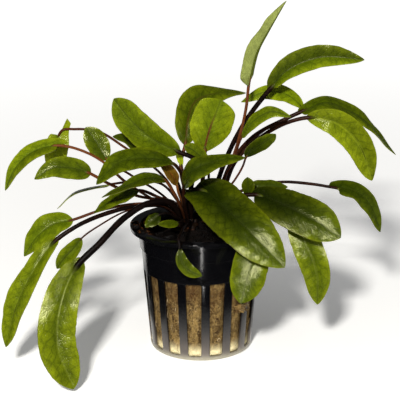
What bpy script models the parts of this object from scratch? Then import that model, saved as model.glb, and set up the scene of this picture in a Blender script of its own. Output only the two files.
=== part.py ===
"""Potted cryptocoryne: a rosette plant rooted in rockwool inside a slotted net pot.

Metres, +Z up. The origin is under the middle of the pot, on the surface it stands on, and -Y is the front.
Sizes below are in millimetres and are turned into metres when a mesh is made.
"""
import math

import bpy
import bmesh
import numpy as np

MM = 0.001
GAP = 0.3

# Net pot
POT_HEIGHT = 50.0
RIM_RADIUS = 27.5
RIM_THICKNESS = 1.3
WALL_RADIUS_FOOT = 20.1
WALL_RADIUS_TOP = 24.0
WALL = 1.0
COLLAR_DROP = 8.5
COLLAR_STEP = 0.5
FOOT_CHAMFER = 0.6
FLOOR = 1.2
POT_SIDES = 45

# Slots in the pot's wall
SLOT_COUNT = 15
SLOT_FIRST_ANGLE = -7.3
SLOT_BOTTOM = 1.7
SLOT_TOP = 32.5
RIB_WIDTH = 3.3

# Rockwool and rhizomes
ROCKWOOL_TOP = 47.0
ROCKWOOL_SIDES = 45
RHIZOME_TOP = 49.3
RHIZOME_SIDES = 14
RHIZOMES = {"rhizome_left": (-6.3, 0.6, 4.9), "rhizome_right": (5.9, 5.4, 4.6)}

# Leaves
FOOT_Z = RHIZOME_TOP + GAP
FOOT_RADIUS = 0.42
FOOT_RISE = 1.6
BLADE_HALF_THICKNESS = 0.2
RIB_DEPTH = 0.5
SMALL_BLADE = 3.5

# Each leaf: where its stalk starts, the points that the stalk and then the blade's midrib pass through,
# the blade's half width, the stalk's radius, the way the upper side faces near the base and near the tip,
# the angle that each half is folded up, where along the blade it is widest, how blunt the base and the tip
# are, and how far the two basal lobes reach back.
LEAVES = {
    "leaf_front_left_trailing": dict(
        foot=(-7.6, -2.9), stalk=[(-11, -5, 59.5), (-19, -10, 61.5), (-28, -16, 58), (-38, -25, 50)],
        blade=[(-46, -30, 43), (-51, -37, 33), (-53, -43, 18), (-47, -48, 1.8)],
        half=7.2, thick=1.0, face=[(0, -0.8, 0.6), (0.3, -0.9, 0.4)],
        fold=14, widest=0.5, base=0.5, tip=4.0, lobes=(1.5, 2.5)),
    "leaf_left_trailing": dict(
        foot=(-9.6, -1.1), stalk=[(-13, -3, 57.5), (-23, -7, 59.3), (-36, -13, 58.2), (-47, -19, 55)],
        blade=[(-55, -22, 50), (-62, -26, 41), (-69, -29, 28), (-74, -30, 11)],
        half=5.3, thick=0.8, face=[(-0.4, -0.7, 0.6), (-0.6, -0.8, 0.2)],
        fold=18, widest=0.55, base=0.6, tip=2.4, lobes=(0.8, 0.8)),
    "leaf_left_low": dict(
        foot=(-9.7, 0.2), stalk=[(-13, -1, 57.5), (-24, -3, 59), (-38, -6, 57.5)],
        blade=[(-50, -8, 54), (-56, -9, 53), (-63, -11, 48), (-68, -12, 41)],
        half=5.8, thick=0.7, face=[(0.1, -0.8, 0.6), (-0.5, -0.8, 0.4)],
        fold=12, widest=0.45, base=0.5, tip=2.2, lobes=(1, 1)),
    "leaf_left_low_small": dict(
        foot=(-8.6, -2.2), stalk=[(-13.5, -5.4, 58.3), (-26.5, -11.5, 59.3), (-37.5, -18, 55.5)],
        blade=[(-45, -22, 51), (-47.5, -23, 48), (-51, -24, 44.5), (-54, -25, 40.5)],
        half=3.2, thick=0.5, face=[(-0.1, -0.9, 0.3), (-0.1, -0.9, 0.3)],
        fold=12, widest=0.5, base=0.5, tip=2.4, lobes=(0.5, 0.5)),
    "leaf_far_left": dict(
        foot=(-7.8, 2.9), stalk=[(-14, 2.5, 56), (-29.5, 3, 66.5), (-38.5, 3, 75), (-43, 2, 78)],
        blade=[(-56, 1, 81.5), (-64, 0, 79.5), (-71, -1, 73.5), (-75.5, -2, 64.5)],
        half=4.2, thick=0.7, face=[(-0.2, -0.8, 0.6), (-0.6, -0.8, 0.3)],
        fold=12, widest=0.33, base=0.4, tip=2.0, lobes=(1, 4)),
    "leaf_far_left_behind": dict(
        foot=(-6.0, 2.6), stalk=[(-9, 5, 58), (-12, 8, 63.5), (-30, 12, 78), (-40, 13, 84), (-49, 13, 85)],
        blade=[(-55, 12, 83), (-56, 11, 79), (-57, 10, 74), (-58, 9, 68)],
        half=5.4, thick=0.6, face=[(0, -0.9, 0.3), (-0.2, -1, 0.2)],
        fold=10, widest=0.4, base=0.5, tip=2.4, lobes=(9, 1)),
    "leaf_left_middle": dict(
        foot=(-9.0, 1.6), stalk=[(-12, 1.3, 57), (-25, 0, 61.5), (-36, -2.5, 67.5)],
        blade=[(-43, -4, 72), (-50, -6, 74.5), (-56, -8, 75), (-63, -9, 71)],
        half=4.6, thick=0.6, face=[(0.2, -0.9, 0.4), (-0.2, -0.9, 0.4)],
        fold=8, widest=0.36, base=0.5, tip=1.9, lobes=(1.2, 1.2)),
    "leaf_left_small_upright": dict(
        foot=(-6.8, 3.9), stalk=[(-14, 6, 59), (-27.5, 7, 68)],
        blade=[(-36.5, 7, 74.5), (-38.5, 8, 77.5), (-41.5, 9, 82.5), (-44.5, 10, 86.5)],
        half=4.6, thick=0.5, face=[(0, -1, 0.3), (0, -1, 0.2)],
        fold=14, widest=0.5, base=0.55, tip=2.4, lobes=(0.5, 0.5)),
    "leaf_left_arching": dict(
        foot=(-5.8, -0.2), stalk=[(-6.3, -0.8, 60), (-6.3, -2, 68.5)],
        blade=[(-10, -5, 75.5), (-19, -8, 78.5), (-30, -11, 78), (-39, -15, 70.5)],
        half=5.6, thick=0.7, face=[(0.3, -0.5, 0.8), (-0.5, -0.5, 0.7)],
        fold=8, widest=0.55, base=0.8, tip=2.2, lobes=(0.2, 0.2)),
    "leaf_left_upper": dict(
        foot=(-4.2, 0.2), stalk=[(-4.2, -0.5, 59.5), (-2.5, -1, 69.5), (-1.5, -1.5, 75.5)],
        blade=[(-8.5, -1.5, 79.5), (-18.5, 0, 84.5), (-27, 3.5, 91.5), (-33, 7, 98.5)],
        half=6.3, thick=0.9, face=[(0, -1, 0.2), (-0.1, -0.9, 0.4)],
        fold=10, widest=0.45, base=0.55, tip=4.0, lobes=(1, 1)),
    "leaf_left_upper_behind": dict(
        foot=(-4.2, 3.8), stalk=[(-7, 7, 58), (-8.5, 10, 63), (-12.5, 13, 68)],
        blade=[(-16.5, 15, 71), (-22.5, 16, 76), (-28.5, 17, 80), (-34.5, 17, 81)],
        half=4.0, thick=0.6, face=[(0.5, -0.5, 0.7), (0.1, -0.5, 0.9)],
        fold=8, widest=0.45, base=0.6, tip=2.2, lobes=(0.5, 0.5)),
    "leaf_left_inner": dict(
        foot=(-6.0, -1.6), stalk=[(-7.5, -4, 58), (-10.5, -6, 65)],
        blade=[(-13.5, -8, 70), (-19, -11, 72), (-27, -14, 70), (-37, -17, 66)],
        half=3.7, thick=0.6, face=[(0.4, -0.2, 0.9), (-0.4, -0.1, 0.9)],
        fold=4, widest=0.4, base=0.6, tip=1.6, lobes=(0.5, 0.5)),
    "leaf_left_inner_low": dict(
        foot=(-7.5, -0.5), stalk=[(-9, 0.2, 57.5), (-15.5, -2, 61)],
        blade=[(-24, -5, 65), (-29, -7, 64), (-35, -9, 61.5), (-40.5, -11, 58)],
        half=4.0, thick=0.6, face=[(-0.1, -0.4, 0.9), (-0.4, -0.4, 0.8)],
        fold=4, widest=0.4, base=0.6, tip=1.8, lobes=(0.5, 0.5)),
    "leaf_left_narrow": dict(
        foot=(-5.4, 4.4), stalk=[(-9, 7, 57), (-14.5, 9, 63), (-27.5, 11, 63.8)],
        blade=[(-36, 12, 62.5), (-43, 13, 61), (-50.5, 14, 58.5), (-57.5, 14, 52)],
        half=3.6, thick=0.5, face=[(-0.2, 0.1, 1), (-0.7, 0, 0.7)],
        fold=2, widest=0.4, base=0.7, tip=1.8, lobes=(0.2, 0.2)),
    "leaf_old_orange": dict(
        foot=(-7.0, 0.9), stalk=[(-7.2, 1.4, 58), (-8.5, 0, 63)],
        blade=[(-9, -1, 66), (-10, -2, 69), (-12, -3, 72), (-15, -4, 75)],
        half=2.3, thick=0.5, face=[(0.7, -0.7, 0.1), (0.6, -0.6, 0.5)],
        fold=15, widest=0.5, base=0.6, tip=2.2, lobes=(0.2, 0.2)),
    "leaf_young_pale": dict(
        foot=(-5.6, 1.2), stalk=[(-5.8, 2.0, 59), (-6.3, 2, 67)],
        blade=[(-7, 2, 73), (-7.5, 2, 75), (-8, 2, 77), (-8.5, 2, 79)],
        half=1.4, thick=0.4, face=[(-0.4, -0.9, 0), (-0.4, -0.9, 0)],
        fold=15, widest=0.5, base=0.6, tip=2.2, lobes=(0.2, 0.2)),
    "leaf_mouth_left": dict(
        foot=(-6.5, -3.5), stalk=[(-9.5, -6, 54.5), (-13.5, -7.5, 56.5)],
        blade=[(-16, -8.5, 56), (-17.5, -9.5, 54.8), (-19.5, -10.5, 53.5), (-21, -11.5, 52.2)],
        half=2.6, thick=0.4, face=[(-0.2, -0.8, 0.6), (-0.2, -0.8, 0.5)],
        fold=8, widest=0.4, base=0.5, tip=1.8, lobes=(0.5, 0.5)),
    "leaf_mouth_left_small": dict(
        foot=(-5.3, -3.1), stalk=[(-6, -6.5, 53.5)],
        blade=[(-8.5, -9, 53), (-11, -11, 53.3), (-13.5, -13, 53.9), (-16, -14.5, 54.4)],
        half=1.7, thick=0.4, face=[(0.3, -0.7, 0.6), (0.4, -0.7, 0.6)],
        fold=8, widest=0.4, base=0.6, tip=2.2, lobes=(0.2, 0.2)),
    "leaf_centre_arching": dict(
        foot=(-4.7, -1.9), stalk=[(-5.8, -4.5, 58.5), (-6.3, -6.5, 64)],
        blade=[(-6, -8.5, 68.5), (-3, -11, 74), (6, -11, 78), (17.5, -9, 79)],
        half=5.0, thick=0.7, face=[(-0.7, -0.8, 0), (0, -0.3, 0.9)],
        fold=5, widest=0.3, base=0.5, tip=1.7, lobes=(1.5, 1.5)),
    "leaf_centre_round": dict(
        foot=(2.8, 6.6), stalk=[(1, 7, 61.5), (1.5, 7.5, 70)],
        blade=[(2, 7.5, 77.5), (3.5, 7, 87.5), (6.5, 9, 95.5), (8.5, 13, 96.5), (10, 17, 93)],
        half=8.4, thick=0.9, face=[(0, -1, 0.2), (0, 0.2, 1)],
        fold=4, widest=0.38, base=0.5, tip=2.2, lobes=(0.8, 0.8)),
    "leaf_centre_back": dict(
        foot=(-4.4, 2.3), stalk=[(-5.5, 5, 59), (-7.5, 8, 71.5)],
        blade=[(-5.5, 11, 79.7), (-4.5, 14, 88), (-1.5, 21, 94), (6.5, 27, 96), (19, 32, 95)],
        half=6.0, thick=0.7, face=[(-0.1, -0.9, 0.3), (-0.2, -0.3, 0.9)],
        fold=4, widest=0.4, base=0.5, tip=2.0, lobes=(0.8, 0.8)),
    "leaf_centre_small": dict(
        foot=(3.5, 5.2), stalk=[(3, 3, 63), (3.5, 3, 69)],
        blade=[(3, 3, 73.2), (0, 3, 76.5), (-3, 3, 79), (-6, 3, 80.5)],
        half=3.4, thick=0.5, face=[(0.4, -0.7, 0.5), (0.3, -0.7, 0.6)],
        fold=8, widest=0.45, base=0.6, tip=2.6, lobes=(0.2, 0.2)),
    "leaf_top_upright": dict(
        foot=(4.6, 6.6), stalk=[(8.3, 7.2, 62), (14.5, 6, 79.5), (18, 7, 93.5)],
        blade=[(19.5, 8, 105.5), (22, 9, 115.5), (27.5, 10, 125.5), (33.5, 12, 135)],
        half=4.2, thick=0.6, face=[(-0.95, -0.2, 0.1), (-0.8, 0, 0.5)],
        fold=48, widest=0.25, base=0.4, tip=1.2, lobes=(1.5, 1.5)),
    "leaf_upper_right": dict(
        foot=(5.4, 8.2), stalk=[(6.5, 10, 61), (11.5, 11, 75.5), (19, 9.5, 90)],
        blade=[(28, 8, 102.2), (33.5, 7, 108.6), (45.5, 6, 114), (63, 4, 113.5)],
        half=6.2, thick=1.0, face=[(-0.6, -0.5, 0.6), (0.1, -0.3, 1)],
        fold=12, widest=0.4, base=0.5, tip=1.9, lobes=(1, 1)),
    "leaf_right_small_arching": dict(
        foot=(5.0, 4.6), stalk=[(8, 1, 65), (13, -3, 76.5)],
        blade=[(16, -7, 86.5), (20, -10, 93), (27, -13, 97.5), (34, -15, 96)],
        half=2.8, thick=0.5, face=[(-0.8, -0.4, 0.4), (0.3, -0.2, 0.9)],
        fold=2, widest=0.4, base=0.7, tip=1.8, lobes=(0.2, 0.2)),
    "leaf_right_turned_back": dict(
        foot=(7.0, 7.6), stalk=[(9.5, 9.5, 62), (14.5, 9, 73.5), (25, 8, 85), (36, 7, 91)],
        blade=[(39.5, 7, 94), (36, 9.5, 97.8), (27, 15, 99), (16.5, 17.5, 94.4)],
        half=3.0, thick=0.5, face=[(0.5, -0.2, 0.8), (-0.5, -0.1, 0.8)],
        fold=2, widest=0.35, base=0.6, tip=1.8, lobes=(0.2, 0.2)),
    "leaf_right_long_tip": dict(
        foot=(6.0, 5.4), stalk=[(8, 4.2, 62), (12.5, 4.5, 73.5), (21, 3.5, 84), (32.5, 3, 90.5)],
        blade=[(40, 3, 94), (48, 4, 97), (59.5, 6, 92.5), (77, 8, 75)],
        half=4.8, thick=0.8, face=[(-0.3, -0.4, 0.9), (0.8, -0.3, 0.6)],
        fold=6, widest=0.35, base=0.55, tip=1.6, lobes=(1, 1)),
    "leaf_right_hanging": dict(
        foot=(7.3, 5.2), stalk=[(9.5, 2.5, 62), (13.5, 1, 74), (25, 0, 85.5), (36, -1, 91)],
        blade=[(45.5, -2, 92.5), (53.5, -3, 90.5), (61, -1, 82.5), (67.5, 4, 66)],
        half=5.6, thick=0.8, face=[(0, -0.8, 0.5), (0.4, -0.9, -0.2)],
        fold=10, widest=0.45, base=0.5, tip=2.2, lobes=(1, 1)),
    "leaf_right_small": dict(
        foot=(6.4, 4.1), stalk=[(8.5, -1.5, 61.5), (13.5, -3.5, 68.5), (16.5, -4, 74)],
        blade=[(18, -4, 78), (20.5, -5, 81), (25, -5, 84), (29, -6, 87)],
        half=3.2, thick=0.4, face=[(-0.5, -0.9, 0.1), (-0.4, -0.9, 0.2)],
        fold=8, widest=0.5, base=0.5, tip=3.0, lobes=(0.5, 0.5)),
    "leaf_back_right": dict(
        foot=(8.9, 5.6), stalk=[(10, 5.5, 56), (14, 5, 60)],
        blade=[(19, 5, 62.5), (24, 5, 63), (29, 5, 63), (34.5, 5, 63)],
        half=3.4, thick=0.5, face=[(0.2, -0.9, 0.5), (0, -0.9, 0.5)],
        fold=12, widest=0.4, base=0.5, tip=2.0, lobes=(0.8, 0.8)),
    "leaf_back_right_small": dict(
        foot=(8.2, 4.0), stalk=[(9.5, 2.5, 56.5), (14.5, 1, 59.5)],
        blade=[(18, 0, 61.5), (18.7, 0, 63.5), (18.7, 0, 65.5), (18.5, 0, 68.5)],
        half=2.6, thick=0.4, face=[(-0.1, -1, 0), (0, -1, 0)],
        fold=10, widest=0.5, base=0.5, tip=2.2, lobes=(0.2, 0.2)),
    "leaf_far_right": dict(
        foot=(8.6, 7.0), stalk=[(11, 9, 56.5), (22, 11, 61.5), (31.5, 10, 63.5), (43.5, 9, 63)],
        blade=[(54, 8, 61.5), (61, 8, 60.5), (68, 8, 53.5), (72, 8, 43)],
        half=3.8, thick=0.6, face=[(0.1, -0.6, 0.8), (0.7, -0.7, 0.2)],
        fold=8, widest=0.4, base=0.5, tip=2.4, lobes=(1.5, 1.5)),
    "leaf_right_large": dict(
        foot=(5.5, 2.9), stalk=[(6.5, -2, 57.5), (13.5, -6.5, 62.5)],
        blade=[(22, -9, 64), (32, -15, 61.5), (42.5, -20, 57.5), (52.5, -24, 51.5)],
        half=7.6, thick=0.9, face=[(-0.2, -0.6, 0.8), (0.1, -0.7, 0.7)],
        fold=12, widest=0.45, base=0.5, tip=2.4, lobes=(1.5, 1.5)),
    "leaf_front_large": dict(
        foot=(-3.4, -1.0), stalk=[(-3, -3.5, 60), (-2.5, -5, 65)],
        blade=[(0.5, -6.5, 65.5), (9.5, -17, 61), (18.5, -27, 55), (31, -34, 43.5)],
        half=9.4, thick=0.9, face=[(-0.3, -0.7, 0.7), (0, -0.9, 0.5)],
        fold=12, widest=0.38, base=0.5, tip=3.2, lobes=(3, 6)),
    "leaf_front_right_hanging": dict(
        foot=(7.0, 2.7), stalk=[(11.5, -3, 57), (25, -9, 58.5)],
        blade=[(35, -13, 54), (40, -17, 47), (44, -20, 37), (44.5, -22, 24)],
        half=5.8, thick=0.7, face=[(0.1, -0.8, 0.5), (-0.1, -1, 0.1)],
        fold=12, widest=0.38, base=0.5, tip=2.2, lobes=(1, 1)),
    "leaf_front_hanging": dict(
        foot=(3.7, 3.0), stalk=[(3.8, -6, 56), (12, -15, 56)],
        blade=[(18.8, -22.5, 53), (19.5, -27.5, 47), (17.6, -30, 39), (14.8, -31.5, 29.5)],
        half=6.8, thick=0.8, face=[(-0.2, -0.8, 0.5), (-0.1, -1, 0.2)],
        fold=10, widest=0.45, base=0.5, tip=2.8, lobes=(1, 1)),
    "leaf_front_small": dict(
        foot=(-3.8, -2.9), stalk=[(-6, -12, 52.5), (-7, -22, 53.5), (-8, -28.5, 52.5)],
        blade=[(-7.5, -30, 49.5), (-7, -31, 45.5), (-4.5, -31.5, 42), (0.5, -31.5, 39.5)],
        half=2.4, thick=0.5, face=[(0, -1, 0.2), (0.1, -1, 0.2)],
        fold=6, widest=0.5, base=0.6, tip=2.4, lobes=(0.2, 0.2)),
}

SIDE_ANGLES = [math.radians(45 * k) for k in range(8)]
LARGE_STATIONS = [0, 0.03, 0.1, 0.22, 0.38, 0.55, 0.72, 0.88]
SMALL_STATIONS = [0, 0.06, 0.2, 0.42, 0.68, 0.88]


def make_material(name, colour, roughness):
    material = bpy.data.materials.new(name)
    material.use_nodes = True
    shader = material.node_tree.nodes["Principled BSDF"]
    shader.inputs["Base Color"].default_value = (*colour, 1.0)
    shader.inputs["Roughness"].default_value = roughness
    shader.inputs["Metallic"].default_value = 0.0
    material.diffuse_color = (*colour, 1.0)
    return material


def add_object(name, bm, material):
    bmesh.ops.recalc_face_normals(bm, faces=bm.faces)
    mesh = bpy.data.meshes.new(name)
    bm.to_mesh(mesh)
    bm.free()
    mesh.materials.append(material)
    piece = bpy.data.objects.new(name, mesh)
    bpy.context.scene.collection.objects.link(piece)
    mesh.shade_smooth()
    mesh.set_sharp_from_angle(angle=math.radians(40))
    return piece


def turned(profile, sides, centre=(0.0, 0.0)):
    """A closed body turned from (radius, height) points that start and end on the axis."""
    bm = bmesh.new()
    rings = []
    for radius, height in profile:
        if radius == 0:
            rings.append([bm.verts.new((centre[0] * MM, centre[1] * MM, height * MM))])
            continue
        ring = []
        for k in range(sides):
            turn = 2 * math.pi * k / sides
            x = centre[0] + radius * math.sin(turn)
            y = centre[1] - radius * math.cos(turn)
            ring.append(bm.verts.new((x * MM, y * MM, height * MM)))
        rings.append(ring)
    for low, high in zip(rings, rings[1:]):
        for k in range(sides):
            n = (k + 1) % sides
            if len(low) == 1:
                bm.faces.new((low[0], high[k], high[n]))
            elif len(high) == 1:
                bm.faces.new((low[k], high[0], low[n]))
            else:
                bm.faces.new((low[k], high[k], high[n], low[n]))
    return bm


def wall_radius(height):
    share = height / POT_HEIGHT
    return WALL_RADIUS_FOOT + (WALL_RADIUS_TOP - WALL_RADIUS_FOOT) * share


def build_pot():
    step_z = POT_HEIGHT - COLLAR_DROP
    under_rim = POT_HEIGHT - RIM_THICKNESS
    profile = [
        (0, 0),
        (WALL_RADIUS_FOOT - FOOT_CHAMFER, 0),
        (wall_radius(FOOT_CHAMFER), FOOT_CHAMFER),
        (wall_radius(step_z - COLLAR_STEP), step_z - COLLAR_STEP),
        (wall_radius(step_z) + COLLAR_STEP, step_z),
        (wall_radius(under_rim) + COLLAR_STEP, under_rim),
        (RIM_RADIUS, under_rim),
        (RIM_RADIUS, POT_HEIGHT),
        (wall_radius(POT_HEIGHT) - WALL + COLLAR_STEP, POT_HEIGHT),
        (wall_radius(step_z) - WALL, step_z - COLLAR_STEP),
        (wall_radius(FLOOR) - WALL, FLOOR),
        (0, FLOOR),
    ]
    pot = add_object("net_pot", turned(profile, POT_SIDES), make_material("black_plastic", (0.01, 0.01, 0.012), 0.3))

    bm = bmesh.new()
    for k in range(SLOT_COUNT):
        turn = math.radians(SLOT_FIRST_ANGLE + 360 / SLOT_COUNT * k)
        out = np.array((math.sin(turn), -math.cos(turn)))
        side = np.array((math.cos(turn), math.sin(turn)))
        corners = []
        for height in (SLOT_BOTTOM, SLOT_TOP):
            radius = wall_radius(height)
            half = (2 * math.pi * radius / SLOT_COUNT - RIB_WIDTH) / 2
            near, far = radius - 3 * WALL, radius + 3 * WALL
            for reach, across in ((near, -half), (near, half), (far, half), (far, -half)):
                x, y = out * reach + side * across
                corners.append(bm.verts.new((x * MM, y * MM, height * MM)))
        low, high = corners[:4], corners[4:]
        bm.faces.new(low)
        bm.faces.new(high)
        for a in range(4):
            b = (a + 1) % 4
            bm.faces.new((low[a], low[b], high[b], high[a]))
    cutter = add_object("slot_cutter", bm, pot.data.materials[0])
    cutter.hide_render = True
    cutter.display_type = "WIRE"
    cut = pot.modifiers.new("slots", "BOOLEAN")
    cut.operation = "DIFFERENCE"
    cut.solver = "EXACT"
    cut.object = cutter


def build_rockwool():
    foot_z = FLOOR + GAP
    inner = WALL + GAP
    step_z = POT_HEIGHT - COLLAR_DROP
    profile = [
        (0, foot_z),
        (wall_radius(foot_z) - inner, foot_z),
        (wall_radius(step_z) - inner, step_z - COLLAR_STEP),
        (wall_radius(ROCKWOOL_TOP) - inner, ROCKWOOL_TOP - 1.5),
        (wall_radius(ROCKWOOL_TOP) - inner - 2.5, ROCKWOOL_TOP - 0.5),
        (12, ROCKWOOL_TOP),
        (0, ROCKWOOL_TOP),
    ]
    add_object("rockwool", turned(profile, ROCKWOOL_SIDES), make_material("rockwool", (0.33, 0.22, 0.09), 0.95))


def build_rhizomes():
    bark = make_material("rhizome_bark", (0.05, 0.03, 0.02), 0.8)
    low = ROCKWOOL_TOP + GAP
    for name, (x, y, radius) in RHIZOMES.items():
        profile = [
            (0, low),
            (radius - 0.6, low),
            (radius + 0.4, low + 0.8),
            (radius, RHIZOME_TOP),
            (0, RHIZOME_TOP),
        ]
        add_object(name, turned(profile, RHIZOME_SIDES, (x, y)), bark)


def smooth_path(way, steps=24):
    """A smooth curve through the points, whose bends follow the spacing of the points."""
    way = np.array(way, float)
    points = np.vstack([2 * way[0] - way[1], way, 2 * way[-1] - way[-2]])
    curve = []
    for k in range(1, len(points) - 2):
        before, start, end, after = points[k - 1:k + 3]
        span = np.linalg.norm(end - start)
        span_before = np.linalg.norm(start - before)
        span_after = np.linalg.norm(after - end)
        middle = (end - start) / span
        leave = (middle * span_before + (start - before) / span_before * span) / (span_before + span) * span
        arrive = ((after - end) / span_after * span + middle * span_after) / (span + span_after) * span
        for s in np.linspace(0, 1, steps, endpoint=False):
            curve.append(
                (2 * s**3 - 3 * s**2 + 1) * start + (s**3 - 2 * s**2 + s) * leave
                + (3 * s**2 - 2 * s**3) * end + (s**3 - s**2) * arrive)
    curve.append(way[-1])
    return np.array(curve), steps


def blade_outline(t, widest, base, tip):
    """Half width as a share of the greatest: round towards the base, drawn out towards the tip."""
    if t < widest:
        return (1 - (1 - t / widest) ** 2.2) ** base
    return 1 - ((t - widest) / (1 - widest)) ** tip


def leaf_body(leaf):
    """Stalk and blade as one closed body: rings of eight points that flatten from a rod into a blade."""
    start = (*leaf["foot"], FOOT_Z)
    rise = (*leaf["foot"], FOOT_Z + FOOT_RISE)
    way = [start, rise, *leaf["stalk"], *leaf["blade"]]
    curve, steps = smooth_path(way)
    base_at = steps * (2 + len(leaf["stalk"]))
    length = np.r_[0, np.cumsum(np.linalg.norm(np.diff(curve, axis=0), axis=1))]
    tangent = np.gradient(curve, axis=0)
    stalk_length = length[base_at]
    blade_length = length[-1] - stalk_length
    small = leaf["half"] < SMALL_BLADE
    stalk_count = max(3, min(6, round(stalk_length / 9))) - (1 if small else 0)
    near_foot = [0, FOOT_RISE / 2]
    stations = near_foot + [stalk_length * k / (stalk_count + 1) for k in range(1, stalk_count + 1)]
    shares = SMALL_STATIONS if small else LARGE_STATIONS
    stations += [stalk_length + blade_length * t for t in shares]
    bm = bmesh.new()
    rings = []
    fold = math.radians(leaf["fold"])
    for at in stations:
        centre = np.array([np.interp(at, length, curve[:, k]) for k in range(3)])
        along = np.array([np.interp(at, length, tangent[:, k]) for k in range(3)])
        along /= np.linalg.norm(along)
        t = max(0.0, (at - stalk_length) / blade_length)
        turn = min(1.0, max(0.0, (t - 0.2) / 0.65))
        face = np.array(leaf["face"][0]) * (1 - turn) + np.array(leaf["face"][1]) * turn
        face = face - along * (face @ along)
        face /= np.linalg.norm(face)
        side = np.cross(along, face)
        grown = min(1.0, at / 7.0)
        rod = FOOT_RADIUS + (leaf["thick"] - FOOT_RADIUS) * grown
        flat = min(1.0, t / 0.1)
        half = max(rod, leaf["half"] * blade_outline(t, leaf["widest"], leaf["base"], leaf["tip"])) if t > 0 else rod
        reach_back = max(0.0, 1 - t / 0.35) ** 2 if t > 0 else 0.0
        ring = []
        for angle in SIDE_ANGLES:
            across, up = math.cos(angle), math.sin(angle)
            if abs(up) > 0.1 and abs(across) > 0.1:
                across = math.copysign(0.707 * (1 - flat) + 0.5 * flat, across)
            if up > 0.1:
                up = up * rod * (1 - flat) + BLADE_HALF_THICKNESS * flat
            elif up < -0.9:
                up = -rod * (1 - flat) - (RIB_DEPTH * (1 - t) + BLADE_HALF_THICKNESS * t) * flat
            elif up < -0.1:
                up = up * rod * (1 - flat) - BLADE_HALF_THICKNESS * flat
            else:
                up = 0.0
            spread = abs(across) * half
            lift = up + spread * math.sin(fold) * flat
            lobe = leaf["lobes"][1 if across > 0 else 0] * reach_back * across**2
            point = centre + side * across * half * math.cos(fold * flat) + face * lift - along * lobe
            ring.append(bm.verts.new(point * MM))
        rings.append(ring)
    for low, high in zip(rings, rings[1:]):
        for k in range(8):
            n = (k + 1) % 8
            bm.faces.new((low[k], low[n], high[n], high[k]))
    bm.faces.new(rings[0])
    end = bm.verts.new(curve[-1] * MM)
    for k in range(8):
        bm.faces.new((rings[-1][k], rings[-1][(k + 1) % 8], end))
    bmesh.ops.triangulate(bm, faces=bm.faces)
    return bm


def build_leaves():
    green = make_material("leaf_green", (0.16, 0.25, 0.02), 0.45)
    orange = make_material("leaf_orange", (0.45, 0.2, 0.03), 0.5)
    for name, leaf in LEAVES.items():
        add_object(name, leaf_body(leaf), orange if name == "leaf_old_orange" else green)


for old in list(bpy.data.objects):
    bpy.data.objects.remove(old)
build_pot()
build_rockwool()
build_rhizomes()
build_leaves()
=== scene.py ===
import math

import bmesh
import bpy
import numpy as np
from mathutils import Matrix, Vector, noise


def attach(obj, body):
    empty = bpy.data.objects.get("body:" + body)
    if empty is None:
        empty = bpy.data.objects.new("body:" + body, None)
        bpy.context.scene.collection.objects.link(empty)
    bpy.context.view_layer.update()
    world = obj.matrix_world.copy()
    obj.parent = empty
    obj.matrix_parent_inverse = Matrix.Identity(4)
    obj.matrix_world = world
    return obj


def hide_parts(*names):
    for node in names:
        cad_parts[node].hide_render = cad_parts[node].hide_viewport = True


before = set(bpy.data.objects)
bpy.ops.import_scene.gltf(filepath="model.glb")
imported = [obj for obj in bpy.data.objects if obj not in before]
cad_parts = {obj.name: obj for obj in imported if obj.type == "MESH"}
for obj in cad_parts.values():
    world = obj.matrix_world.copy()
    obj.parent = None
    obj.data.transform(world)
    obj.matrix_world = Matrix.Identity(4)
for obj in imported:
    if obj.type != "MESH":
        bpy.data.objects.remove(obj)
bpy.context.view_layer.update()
MM = 0.001

# The viewpoint is half a metre in front of the pot and 17 degrees above it, aimed a little over its rim. The
# pot stands on its flat foot, turned so that the two broadest leaves hang towards the viewer.
RAISED, LEAN, AWAY = math.radians(17), math.radians(-0.46), 0.5
AIM = Vector((0, 0, 0.0594))


def put_in_scene(name, data):
    placed = bpy.data.objects.new(name, data)
    bpy.context.scene.collection.objects.link(placed)
    return placed


backward = Vector((0, -math.cos(RAISED), math.sin(RAISED)))
level = Vector((1, 0, 0))
upright = backward.cross(level)
viewpoint = bpy.data.cameras.new("viewpoint")
viewpoint.lens = 115.4
viewpoint.sensor_width = 36
eye = put_in_scene("viewpoint", viewpoint)
eye.matrix_world = Matrix((
    level * math.cos(LEAN) + upright * math.sin(LEAN),
    upright * math.cos(LEAN) - level * math.sin(LEAN),
    backward,
)).transposed().to_4x4()
eye.matrix_world.translation = AIM + backward * AWAY
bpy.context.scene.camera = eye
bpy.context.scene.view_settings.view_transform = "Standard"


# The studio is a plain pale floor under a plain sky, brighter in front of the plant than behind it. A small
# lamp beside the viewpoint gives the leaves their clear highlights, a strip on the floor draws the line down
# the pot, and a card seen only in reflections, white at its inner edge and black further out, keeps the
# pot's front dark. The floor glows too, more the further it lies from the pot's foot: a painted glow that
# keeps it white where the lamp's light falls off.
FRONT_LAMP, STRIP_LAMP = Vector((-0.16, -0.84, 0.6)), Vector((0.003, -0.12, 0.003))
FLOOR_REACH, FLOOR_Z = 4.0, -0.0001
CARD_INNER, CARD_OUTER, CARD_Z, CARD_TURN, CARD_PARTS = 0.042, 1.2, 0.0005, math.radians(128), 48


def hang_lamp(name, place, turned, width, length, watts):
    lamp = bpy.data.lights.new(name, "AREA")
    lamp.shape = "RECTANGLE"
    lamp.size = width
    lamp.size_y = length
    lamp.energy = watts
    lamp.color = (1.0, 0.98, 0.94)
    hung = put_in_scene(name, lamp)
    hung.matrix_world = Matrix.Translation(place) @ turned
    hung.visible_camera = False


def feed(tree, socket, value):
    """Gives a node's input a plain value, or what another node works out, by default in its first output."""
    if hasattr(value, "outputs"):
        value = value.outputs[0]
    value = getattr(value, "socket", value)
    if isinstance(value, bpy.types.NodeSocket):
        tree.links.new(value, socket)
    elif socket.type == "RGBA" and len(value) == 3:
        socket.default_value = (*value, 1.0)
    else:
        socket.default_value = value


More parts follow.
